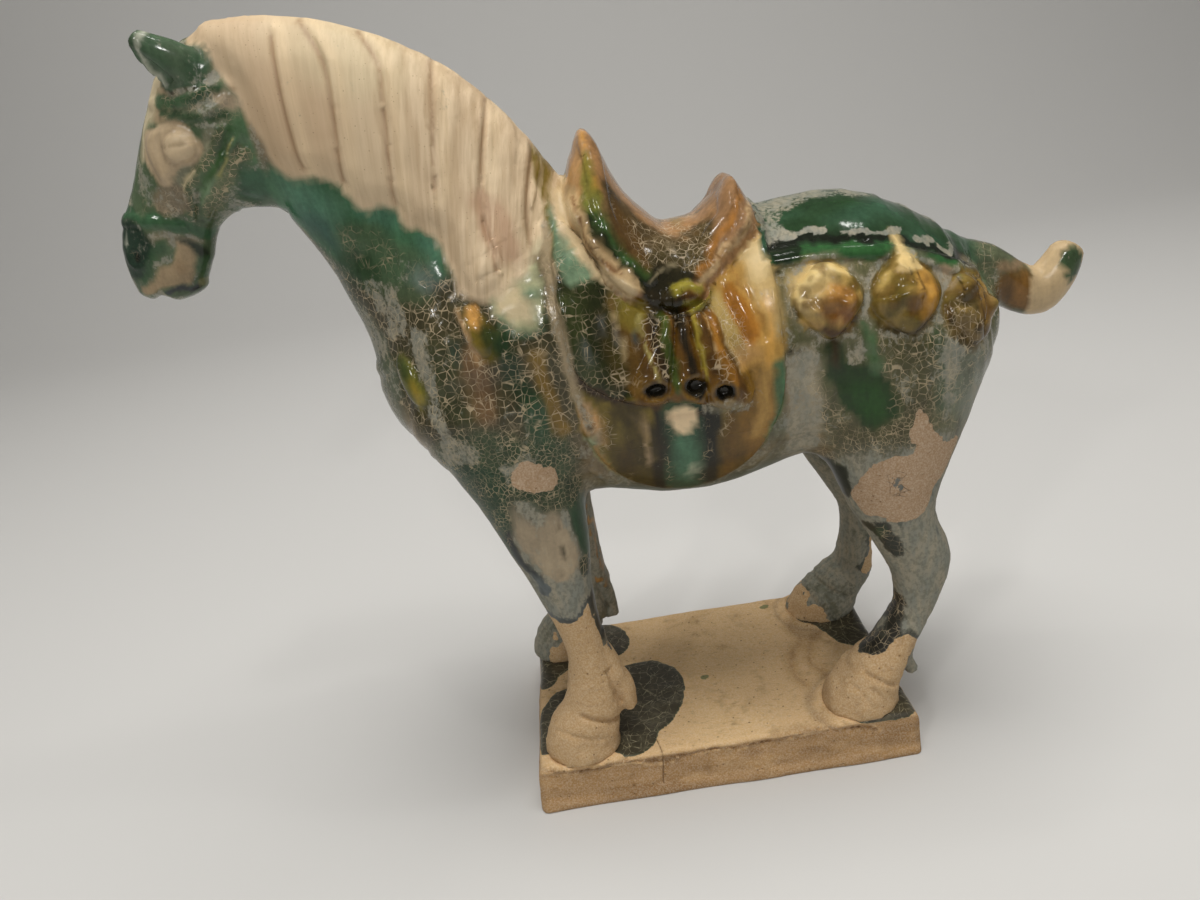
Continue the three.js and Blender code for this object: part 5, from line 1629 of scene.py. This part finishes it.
# Film: a thin clouding that comes and goes in mottled patches
clouded_film, haze_mix, given, result = shared_effect(
    "clouded_film", {"Cover": 0.5}, {"Film": "Float", "Mottle": "Float"}
)
places = haze_mix.places()
wide_cloud = haze_mix.noise(haze_mix.stretch(places, 1, 1.6), 9, 5.0, 0.62)
fine_cloud = haze_mix.noise(haze_mix.stretch(places, 1, 1.3), 1.5, 4.0, 0.6)
cloud_mix = haze_mix.math("ADD", haze_mix.math("MULTIPLY", wide_cloud, 0.62), haze_mix.math("MULTIPLY", fine_cloud, 0.38))
reach = haze_mix.math("ADD", haze_mix.math("MULTIPLY", haze_mix.math("SUBTRACT", cloud_mix, 0.5), 2.6), given["Cover"])
haze_mix.tree.links.new(haze_mix.step(reach, 0.3, 0.72), result["Film"])
haze_mix.tree.links.new(fine_cloud, result["Mottle"])

# Runs: glaze that flowed down is deeper in some streaks than in others
glaze_runs, flow, given, result = shared_effect("glaze_runs", {"Depth": 0.3}, {"Tone": "Float"})
places = flow.places()
streaks = flow.noise(flow.stretch(places, 1, 5), 2.2, 3.0)
pools = flow.noise(flow.stretch(places, 1, 1.8), 10, 3.0)
uneven = flow.math("ADD", flow.math("MULTIPLY", streaks, 0.55), flow.math("MULTIPLY", pools, 0.75))
flecks = flow.noise(places, 1.4, 3.0)
uneven = flow.math("ADD", uneven, flow.math("MULTIPLY", flecks, 0.4))
uneven = flow.math("SUBTRACT", uneven, 0.85)
uneven = flow.math("MULTIPLY", uneven, flow.math("MULTIPLY", given["Depth"], 4.0))
flow.tree.links.new(flow.math("MAXIMUM", flow.math("ADD", uneven, 1.0), 0.05), result["Tone"])

# Clay: buff, sandy and stained
bare_body, earth, given, result = shared_effect(
    "bare_buff_clay",
    {"Clay": (*tone(158, 130, 96), 1), "Stain": (*tone(112, 88, 60), 1), "Stain Cover": 0.4},
    {"Color": "Color", "Height": "Float"},
)
places = earth.places()
sand = earth.noise(places, 0.7, 3.0, 0.6)
blotches = earth.noise(places, 12, 5.0, 0.6)
pits = earth.add("TexVoronoi", {"Vector": places, "Scale": 0.36})
pit_size = earth.math("MULTIPLY", earth.add("SeparateColor", {0: pits["Color"]})[0], 0.2)
paler = earth.mix(0.2, given["Clay"], (1, 0.92, 0.78, 1))
clay_colour = earth.mix(earth.step(sand, 0.35, 0.7), given["Clay"], paler)
drags = earth.noise(earth.add("VectorMath", {0: places, 1: (0.3, 0.7, 0.5)}, operation="MULTIPLY")[0], 1, 4.0, 0.65)
clay_colour = earth.mix(earth.step(drags, 0.54, 0.74, 0.0, 0.4), clay_colour, given["Stain"])
stained = earth.math("ADD", blotches, earth.math("MULTIPLY", earth.math("SUBTRACT", given["Stain Cover"], 0.5), 0.5))
clay_colour = earth.mix(earth.step(stained, 0.42, 0.72, 0.0, 0.75), clay_colour, given["Stain"])
grit = earth.step(pits["Distance"], pit_size, earth.math("MULTIPLY", pit_size, 0.5))
clay_colour = earth.mix(earth.math("MULTIPLY", grit, 0.8), clay_colour, given["Stain"])
earth.tree.links.new(clay_colour, result["Color"])
rough_skin = earth.math("SUBTRACT", earth.math("MULTIPLY", sand, 0.4), earth.math("MULTIPLY", grit, 0.8))
rough_skin = earth.math("SUBTRACT", rough_skin, earth.math("MULTIPLY", drags, 0.35))
earth.tree.links.new(earth.math("ADD", rough_skin, earth.math("MULTIPLY", blotches, 1.2)), result["Height"])


def effect(recipe, group, inputs):
    made = recipe.tree.nodes.new("ShaderNodeGroup")
    made.node_tree = group
    for socket, value in inputs.items():
        if isinstance(value, bpy.types.NodeSocket):
            recipe.tree.links.new(value, made.inputs[socket])
        else:
            made.inputs[socket].default_value = value
    return made.outputs


def material(name):
    made = bpy.data.materials.new(name)
    made.use_nodes = True
    return made, Recipe(made.node_tree), made.node_tree.nodes["Principled BSDF"]


glazed, mixed, shader = material("crackled_lead_glaze")
shader.inputs["Specular IOR Level"].default_value = 0.38
film_cover = mixed.noted("film_cover")["Fac"]
crackle_cover = mixed.noted("crackle_cover")["Fac"]
hair_cover = mixed.noted("hair_cover")["Fac"]
clay_cover = mixed.noted("bare_clay")["Fac"]
chipped = mixed.noted("chipped")["Fac"]
places = mixed.places()

# Glaze colour, streaked where it ran and combed along the hair
runs = effect(mixed, glaze_runs, {"Depth": mixed.noted("run_depth")["Fac"]})["Tone"]
runs = mixed.math("ADD", runs, mixed.math("MULTIPLY", hair_cover, mixed.math("SUBTRACT", 1.0, runs)))
colour = mixed.noted("glaze_colour")["Color"]
spread = mixed.add("CombineColor", {0: runs, 1: runs, 2: runs})[0]
colour = mixed.mix(1.0, colour, spread, "MULTIPLY")
strand = mixed.math("MULTIPLY", mixed.noted("strand_place")["Fac"], 100.0)
depth_and_height = mixed.add("SeparateXYZ", {0: places})
combed = mixed.add("CombineXYZ", {0: strand, 1: mixed.math("MULTIPLY", depth_and_height[1], 0.25), 2: mixed.math("MULTIPLY", depth_and_height[2], 0.05)})[0]
strands = mixed.noise(combed, 2.2, 3.0, 0.5)
loose_hair = mixed.math("MULTIPLY", hair_cover, mixed.step(depth_and_height[0], -108, -72, 0.25, 1.0))
light_strands = mixed.math("MULTIPLY", loose_hair, mixed.step(strands, 0.5, 0.66, 0.0, 0.26))
dark_strands = mixed.math("MULTIPLY", loose_hair, mixed.step(strands, 0.5, 0.36, 0.0, 0.28))
fine_strands = mixed.step(mixed.noise(combed, 0.9, 2.0), 0.42, 0.6, 0.0, 0.13)
colour = mixed.mix(mixed.math("MULTIPLY", hair_cover, fine_strands), colour, (*tone(142, 120, 94), 1))
colour = mixed.mix(light_strands, colour, (*tone(196, 178, 150), 1))
colour = mixed.mix(dark_strands, colour, (*tone(138, 114, 84), 1))
dots = mixed.add("TexVoronoi", {"Vector": places, "Scale": 0.7, "Randomness": 1.0})
dot_size = mixed.add("SeparateColor", {0: dots["Color"]})[0]
dotted = mixed.step(dots["Distance"], mixed.math("MULTIPLY", dot_size, 0.24), 0.0)
colour = mixed.mix(mixed.math("MULTIPLY", dotted, mixed.math("MULTIPLY", hair_cover, 0.7)), colour, (*tone(92, 68, 46), 1))

# Crackle, film and bare clay, one over the other
wide_net = effect(mixed, crackle_net, {"Cell Size": 2.5, "Line Width": 0.16, "Cover": crackle_cover})
fine_net = effect(mixed, crackle_net, {"Cell Size": 1.7, "Line Width": 0.115, "Cover": crackle_cover})
fineness = mixed.noted("fine_crackle")["Fac"]
lines = mixed.add("Mix", {0: fineness, 2: wide_net["Lines"], 3: fine_net["Lines"]})[0]
colour = mixed.mix(mixed.math("MULTIPLY", lines, 0.68), colour, (*tone(154, 138, 111), 1))
clouded = effect(mixed, clouded_film, {"Cover": film_cover})
film_tint = mixed.mix(mixed.step(mixed.noise(mixed.stretch(places, 1, 3), 3.4, 5.0), 0.3, 0.72), (*tone(108, 109, 100), 1), (*tone(132, 125, 108), 1))
film_tint = mixed.mix(mixed.step(clouded["Mottle"], 0.38, 0.56, 0.4, 0.0), film_tint, (*tone(66, 68, 54), 1))
film_tint = mixed.mix(mixed.math("MULTIPLY", lines, 0.5), film_tint, (*tone(158, 146, 120), 1))
filmed = mixed.math("MULTIPLY", clouded["Film"], 0.86)
colour = mixed.mix(filmed, colour, film_tint)
ragged = mixed.math("ADD", clay_cover, mixed.math("MULTIPLY", mixed.math("SUBTRACT", mixed.noise(places, 1.6, 3.0), 0.5), 0.5))
clay_shown = mixed.step(ragged, 0.42, 0.56)
higher = mixed.step(depth_and_height[2], 92, 110)
clay = mixed.mix(higher, (*tone(152, 124, 86), 1), (*tone(134, 110, 84), 1))
clay = effect(mixed, bare_body, {"Clay": clay, "Stain Cover": 0.25})
colour = mixed.mix(clay_shown, colour, clay["Color"])
clay_cracks = effect(mixed, crackle_net, {"Cell Size": 4.6, "Line Width": 0.2, "Cover": mixed.math("MULTIPLY", chipped, 2.5)})["Lines"]
colour = mixed.mix(mixed.math("MULTIPLY", clay_cracks, mixed.step(chipped, 0.1, 0.4, 0.0, 0.7)), colour, (*tone(62, 52, 42), 1))
chip_edge = mixed.math("MULTIPLY", mixed.math("SUBTRACT", mixed.noise(places, 1.8, 3.0), 0.5), 1.2)
chip_shown = mixed.step(mixed.math("ADD", chipped, chip_edge), 0.72, 0.8)
colour = mixed.mix(mixed.math("MULTIPLY", chip_shown, 0.85), colour, (*tone(78, 84, 82), 1))
mixed.tree.links.new(colour, shader.inputs["Base Color"])

# Gloss: the glaze is wet and bright, the film satin, the clay matt
gloss = mixed.math("ADD", mixed.math("MULTIPLY", filmed, 0.36), mixed.math("MULTIPLY", lines, 0.2))
gloss = mixed.math("ADD", gloss, mixed.math("MULTIPLY", hair_cover, 0.26))
gloss = mixed.math("ADD", gloss, mixed.step(depth_and_height[2], 175, 135, 0.13, 0.42))
pale = mixed.add("RGBToBW", {0: mixed.noted("glaze_colour")["Color"]})[0]
gloss = mixed.math("ADD", gloss, mixed.step(pale, 0.24, 0.5, 0.0, 0.22))
gloss = mixed.add("Mix", {0: clay_shown, 2: gloss, 3: 0.9})[0]
mixed.tree.links.new(gloss, shader.inputs["Roughness"])

# Surface: crackle sinks in, strands stand up, clay is sandy
ripple = mixed.math("MULTIPLY", mixed.noise(places, 5, 2.0), 0.18)
fine_ripple = mixed.math("MULTIPLY", mixed.noise(places, 1.2, 2.0), 0.02)
ripple = mixed.math("ADD", ripple, mixed.math("MULTIPLY", fine_ripple, mixed.math("SUBTRACT", 1.0, hair_cover)))
sunk = mixed.math("MULTIPLY", lines, -0.06)
combing = mixed.math("MULTIPLY", mixed.math("MULTIPLY", strands, loose_hair), 0.6)
grain = mixed.math("MULTIPLY", clouded["Mottle"], mixed.math("MULTIPLY", filmed, 0.08))
over_glaze = mixed.math("ADD", mixed.math("ADD", ripple, sunk), mixed.math("ADD", combing, grain))
height = mixed.add("Mix", {0: clay_shown, 2: over_glaze, 3: mixed.math("MULTIPLY", clay["Height"], 0.5)})[0]
bump = mixed.add("Bump", {"Height": height, "Distance": 0.001, "Strength": 0.8})
mixed.tree.links.new(bump["Normal"], shader.inputs["Normal"])
horse.data.materials.append(glazed)


# The slab
# A sheet of the same clay, rolled out and cut by hand, left unglazed. The
# hooves were luted to it wet, and glaze ran down the legs and pooled on it.

slab_length = 160
slab_width = 100.6
slab_flare = 2.2
slab_corner = 3
slab_edge_reach = 4
slab_waviness = 0.4


def plain_slab(points):
    """Distance to the slab, whose sides lean out towards the foot"""
    x, y, z = points.T
    spread = slab_flare * (1 - z / slab_top)
    cut_x = slab_waviness * np.sin(y / 11) * np.cos(y / 23 + z / 9)
    cut_y = slab_waviness * np.sin(x / 11) * np.cos(x / 23 + z / 9)
    dx = np.abs(x) - (slab_length / 2 + spread + cut_x) + slab_corner
    dy = np.abs(y) - (slab_width / 2 + spread + cut_y) + slab_corner
    corner = np.hypot(np.maximum(dx, 0), np.maximum(dy, 0))
    sides = corner + np.minimum(np.maximum(dx, dy), 0) - slab_corner
    top = cut(sides, z - slab_top, slab_edge_reach)
    return cut(top, -z, 1)


slab_points, slab_triangles = trace_surface(plain_slab, (-86, -56, -3), (86, 56, 25), 1.15)
slab_points = settle(plain_slab, slab_points, 2)
slab_points[:, 2] = np.maximum(slab_points[:, 2], 0)


def rolled_flat(points):
    """The top and sides of the slab laid out flat, with the sides folded up"""
    drop = slab_top - points[:, 2]
    _, facing = slopes(plain_slab, points)
    flat = points.copy()
    flat[:, 0] += drop * np.clip(facing[:, 0] * 1.2, -1, 1)
    flat[:, 2] = points[:, 1] + drop * np.clip(facing[:, 1] * 1.2, -1, 1)
    flat[:, 1] = 0
    return flat


# Pools, cracks and the broken edge, as x and y on the top laid out flat
near_fore_pool = [
    (-52, 8),
    (-38, 12),
    (-25, 12),
    (-15.7, 5),
    (-11.5, -6.7),
    (-14.8, -19),
    (-19.8, -29.5),
    (-26.8, -36),
    (-32, -45),
    (-39, -48.5),
    (-46, -46),
    (-60, -30),
    (-72, -38),
    (-78, -40),
    (-81, -31),
    (-80, -14),
    (-73, -2),
    (-64, 2),
]
far_fore_pool = [(-84, 52), (-83, 26), (-81, 8), (-75, 4), (-66, 16), (-46, 20), (-38, 22), (-34, 31), (-38, 44), (-52, 53), (-70, 56)]
near_hind_pool = [(50, -40), (56, -50.5), (66, -51.5), (78, -49.7), (80.5, -40), (76, -30), (60, -26)]
far_hind_pool = [(49, 26), (58, 18), (63.3, 4), (76, -2), (81, 4), (83, 30), (80, 50), (64, 46), (52, 38)]
glaze_drops = [(-2.6, -5.9, 2.2, 1.5), (36.3, 42.2, 2.6, 1.8)]
broken_edge = [
    (-77, -49),
    (-62, -53.5),
    (-44.5, -50.4),
    (-28, -55),
    (-9, -51.6),
    (9, -53.5),
    (25, -52),
    (39, -49.4),
    (51, -51.8),
    (62, -56),
]
slab_cracks = [
    [(-29.5, -40), (-28, -47), (-27.8, -56), (-28.6, -67)],
    [(-60, -51.8), (-56, -53.6), (-50, -53)],
]

for least_change in (1.2, 0.6):
    flat = rolled_flat(slab_points)
    to_crack = np.min([to_line(flat, crack)[0] for crack in slab_cracks], axis=0)
    old_count = len(slab_points)
    to_break, _ = to_line(flat, broken_edge)
    near_crack = (to_crack[slab_triangles] < least_change + 0.4).any(1)
    near_crack |= (to_break[slab_triangles] < 1 + 2 * least_change).any(1)
    slab_points, slab_triangles = split_where(slab_points, slab_triangles, near_crack)
    slab_points[old_count:] = settle(plain_slab, slab_points[old_count:], 1)

_, slab_outward = slopes(plain_slab, slab_points)
slab_outward /= np.linalg.norm(slab_outward, axis=1, keepdims=True)
flat = rolled_flat(slab_points)
upper = np.clip(slab_points[:, 2] / 6, 0, 1)
on_top = np.clip((slab_points[:, 2] - slab_top + 2) / 1.5, 0, 1)
to_hoof = np.full(len(flat), 20.0)
is_upper = slab_points[:, 2] > 15
to_hoof[is_upper] = bare_animal(slab_points[is_upper] + (0, 0, 1))
to_break, _ = to_line(flat, broken_edge)
to_crack = np.min([to_line(flat, crack)[0] for crack in slab_cracks], axis=0)

# The painter's view of the slab is its top laid out flat
view = flat + 0.9 * np.stack([waver(slab_points + 30 * k, 6) for k in range(3)], 1)
view += 0.35 * np.stack([waver(slab_points + 90 * k, 2.2) for k in range(3)], 1)
pool = np.zeros(len(view))
for places in (near_fore_pool, far_fore_pool, near_hind_pool, far_hind_pool):
    pool = np.maximum(pool, patch(places, 1.6))
drops = np.zeros(len(view))
for x0, y0, half_x, half_y in glaze_drops:
    drops = np.maximum(drops, spot(x0, y0, half_x, half_y, 0.3, 1.2))

unevenness = 0.3 * waver(slab_points, 17) + 0.14 * waver(slab_points, 5)
luting = 1.2 * np.exp(-(((to_hoof - 1.4) / 1.6) ** 2)) * (1 + 0.5 * waver(slab_points, 3))
crevice = 0.7 * np.exp(-(((to_hoof - 4.6) / 0.8) ** 2)) * np.clip(waver(slab_points, 9) + 0.4, 0, 1)
crumbs = 1.1 * waver(slab_points, 2.4) + 0.6 * waver(slab_points, 5) + 0.7 * waver(slab_points, 1.2) - 0.35
crumbs = crumbs * np.exp(-((to_break / 2.2) ** 2))
below_break = np.clip((-50.5 - flat[:, 2]) / 1.5, 0, 1) * (flat[:, 2] < -50)
slab_worked = unevenness + on_top * (luting - crevice) * (1 - pool) + crumbs - 1.1 * below_break
front_face = np.clip((-52 - flat[:, 2]) / 3, 0, 1)
slab_worked += front_face * (0.5 * waver(slab_points, (14, 14, 5)) + 0.25 * waver(slab_points, (4, 4, 2)) - 0.2)
slab_worked += 0.35 * np.maximum(pool, drops) * on_top - 0.5 * np.exp(-((to_crack / 0.3) ** 2))
slab_placed = slab_points + slab_outward * (slab_worked * upper)[:, None]

clay_colour = np.tile(tone(156, 126, 86), (len(view), 1))
paint = clay_colour
# The top is painted lighter than the same clay on the sides: painted light on the top
lay(tone(178, 148, 106), on_top, 0.9)
lay(tone(186, 156, 112), on_top * patch([(-20, -50), (0, -20), (20, -46), (-10, -54)], 16), 0.6)
lay(tone(166, 138, 98), spot(10, 20, 30, 16, 1.2, 16) * on_top, 0.5)
lay(tone(122, 92, 52), spot(31, -51, 10, 5, 0, 6), 0.6)
lay(tone(128, 98, 58), spot(46, -42, 9, 5, 0.2, 6) * on_top, 0.45)
for stain in ([(40, -22), (37, -10), (41, 2), (47, 12), (44, 22), (50, 32)], [(52, -18), (47, -6), (50, 6), (55, 14)]):
    lay(tone(112, 80, 42), run(stain, 1, 1.4) * on_top, 0.7)
    lay(tone(150, 116, 70), run(stain, 6, 5) * on_top, 0.6)
lay(tone(138, 104, 60), run([(-14, 36), (-2, 41), (8, 44)], 1.6, 2) * on_top, 0.4)
lay(tone(112, 90, 56), spot(51, 19, 7, 10, 0.5, 6) * on_top, 0.5)
# The sides are painted darker than the top: painted shade on the sides
front = 1 - on_top
lay(tone(136, 104, 64), front, 0.85)
lay(tone(154, 122, 80), front * np.clip(1.6 * waver(slab_points, (16, 16, 5)), 0, 1), 0.7)
lay(tone(114, 84, 47), front * np.clip(-1.6 * waver(slab_points + 50, (12, 12, 4)), 0, 1), 0.7)
lay(tone(108, 80, 46), np.exp(-((to_break / 1.1) ** 2)) * np.clip(0.5 + waver(slab_points, 3), 0, 1), 0.75)
lay(tone(174, 144, 102), np.exp(-(((to_break - 1.8) / 1) ** 2)) * np.clip(0.3 + waver(slab_points, 2.4), 0, 1), 0.7)
lay(tone(104, 80, 50), np.exp(-(((to_hoof - 4.6) / 0.9) ** 2)) * on_top, 0.45)
lay(tone(112, 84, 50), np.clip(1 - (slab_points[:, 2] - 1) / 1.5, 0, 1), 0.5)

slab = clay_piece("clay_slab", slab_placed, slab_triangles)
note_on(slab, "clay_colour", clay_colour)
note_on(slab, "pool_cover", pool)
note_on(slab, "green_drops", drops)
note_on(slab, "cracked", np.exp(-((to_crack / 0.22) ** 2)))
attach(slab, "root")
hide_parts("base_slab")

unglazed, mixed, shader = material("unglazed_buff_clay")
places = mixed.places()
clay = effect(mixed, bare_body, {"Clay": mixed.noted("clay_colour")["Color"], "Stain": (*tone(112, 84, 50), 1), "Stain Cover": 0.3})
colour = clay["Color"]
wandering = mixed.noise(places, 1.8, 2.0)
cracked = mixed.math("MULTIPLY", mixed.noted("cracked")["Fac"], mixed.step(wandering, 0.3, 0.5, 0.35, 0.95))
colour = mixed.mix(cracked, colour, (*tone(88, 66, 42), 1))
ragged = mixed.math("MULTIPLY", mixed.math("SUBTRACT", mixed.noise(places, 2.2, 3.0), 0.5), 0.5)
pool_shown = mixed.step(mixed.math("ADD", mixed.noted("pool_cover")["Fac"], ragged), 0.42, 0.56)
rim_shown = mixed.step(mixed.math("ADD", mixed.noted("pool_cover")["Fac"], ragged), 0.98, 0.6)
pool_tone = mixed.mix(mixed.noise(places, 4, 4.0), (*tone(26, 24, 16), 1), (*tone(66, 60, 44), 1))
pool_tone = mixed.mix(mixed.math("MULTIPLY", rim_shown, 0.6), pool_tone, (*tone(66, 74, 54), 1))
needles = 0.0
for size, thickness in ((8.5, 0.024), (4.2, 0.028)):
    crossing = mixed.add("TexVoronoi", {"Vector": places, "Scale": 1 / size}, feature="DISTANCE_TO_EDGE")
    needles = mixed.math("MAXIMUM", needles, mixed.step(crossing["Distance"], thickness, 0.0))
pool_net = mixed.math("MULTIPLY", needles, mixed.step(mixed.noise(places, 2.6, 2.0), 0.4, 0.6, 0.15, 1.0))
pool_tone = mixed.mix(mixed.math("MULTIPLY", pool_net, 0.8), pool_tone, (*tone(142, 134, 108), 1))
pool_film = effect(mixed, clouded_film, {"Cover": 0.3})["Film"]
pool_tone = mixed.mix(mixed.math("MULTIPLY", pool_film, 0.4), pool_tone, (*tone(96, 90, 72), 1))
colour = mixed.mix(pool_shown, colour, pool_tone)
drops_shown = mixed.step(mixed.math("ADD", mixed.noted("green_drops")["Fac"], ragged), 0.4, 0.6)
colour = mixed.mix(mixed.math("MULTIPLY", drops_shown, 0.8), colour, (*tone(84, 96, 62), 1))
mixed.tree.links.new(colour, shader.inputs["Base Color"])
gloss = mixed.add("Mix", {0: pool_shown, 2: 0.92, 3: 0.38})[0]
mixed.tree.links.new(gloss, shader.inputs["Roughness"])
height = mixed.math("MULTIPLY", clay["Height"], 0.7)
height = mixed.add("Mix", {0: pool_shown, 2: height, 3: mixed.math("MULTIPLY", pool_net, -0.05)})[0]
bump = mixed.add("Bump", {"Height": height, "Distance": 0.001, "Strength": 0.8})
mixed.tree.links.new(bump["Normal"], shader.inputs["Normal"])
slab.data.materials.append(unglazed)

# Floor, light and camera
# A plain pale floor that curves up behind, and soft light from a large
# cloth overhead and small lamps above and in front.

floor_front, floor_back, wall_top = -4, 0.9, 3.2
sweep_radius = 0.7
half_floor = 6
profile = [(floor_front, 0)]
for i in range(13):
    turn = math.radians(7.5 * i)
    profile.append((floor_back + sweep_radius * math.sin(turn), sweep_radius * (1 - math.cos(turn))))
profile.append((floor_back + sweep_radius, wall_top))
floor_points = [(x, y, z) for y, z in profile for x in (-half_floor, half_floor)]
floor_faces = [(2 * i, 2 * i + 1, 2 * i + 3, 2 * i + 2) for i in range(len(profile) - 1)]
floor_mesh = bpy.data.meshes.new("studio_floor")
floor_mesh.from_pydata(floor_points, [], floor_faces)
floor_mesh.shade_smooth()
floor = bpy.data.objects.new("studio_floor", floor_mesh)
bpy.context.scene.collection.objects.link(floor)

pale = bpy.data.materials.new("pale_floor")
pale.use_nodes = True
pale_shader = pale.node_tree.nodes["Principled BSDF"]
pale_shader.inputs["Base Color"].default_value = (0.59, 0.585, 0.57, 1)
pale_shader.inputs["Roughness"].default_value = 0.8
floor_mesh.materials.append(pale)


def soft_light(name, place, towards, size, power, colour):
    lamp = bpy.data.lights.new(name, "AREA")
    lamp.shape = "RECTANGLE"
    lamp.size, lamp.size_y = size
    lamp.energy = power
    lamp.color = colour
    holder = bpy.data.objects.new(name, lamp)
    holder.location = place
    aim = Vector(towards) - Vector(place)
    holder.rotation_euler = aim.to_track_quat("-Z", "Y").to_euler()
    bpy.context.scene.collection.objects.link(holder)
    return holder


overhead = soft_light("overhead_cloth", (0.05, -0.05, 1.5), (0, 0, 0.1), (0.9, 0.9), 19, (1, 0.98, 0.95))
overhead.visible_glossy = False
# Small lamps, so that the glaze glints instead of shining broadly
for i, (x, y) in enumerate(((-0.65, 0.3), (0.05, -0.4), (0.6, -0.1))):
    soft_light(f"glint_{i}", (x, y, 1.4), (0, 0, 0.1), (0.09, 0.09), 0.9, (1, 0.98, 0.95))
for i, (x, y) in enumerate(((-0.9, -1.3), (0.1, -1.5))):
    soft_light(f"front_{i}", (x, y, 1.1), (0, 0, 0.15), (0.14, 0.14), 3.6, (1, 0.98, 0.95))

world = bpy.data.worlds.new("studio")
world.use_nodes = True
backdrop = world.node_tree.nodes["Background"]
backdrop.inputs["Color"].default_value = (0.55, 0.54, 0.52, 1)
backdrop.inputs["Strength"].default_value = 0.34
bpy.context.scene.world = world
bpy.context.scene.view_settings.view_transform = "Standard"

camera_place = (-33.44, -342.24, 289.12)
camera_turn, camera_dip, camera_roll = (math.radians(a) for a in (-0.04, 23.6, -9.04))
lens = 27

ahead = Vector((
    math.sin(camera_turn) * math.cos(camera_dip),
    math.cos(camera_turn) * math.cos(camera_dip),
    -math.sin(camera_dip),
))
level = Vector((math.cos(camera_turn), -math.sin(camera_turn), 0))
above = level.cross(ahead)
right = math.cos(camera_roll) * level + math.sin(camera_roll) * above
up = -math.sin(camera_roll) * level + math.cos(camera_roll) * above
camera_data = bpy.data.cameras.new("camera")
camera_data.lens = lens
camera_data.sensor_width = 36
camera_data.clip_start = 0.01
camera = bpy.data.objects.new("camera", camera_data)
camera.matrix_world = Matrix.Translation(Vector(camera_place) * millimetre) @ Matrix(
    (right, up, -ahead)
).transposed().to_4x4()
bpy.context.scene.collection.objects.link(camera)
bpy.context.scene.camera = camera
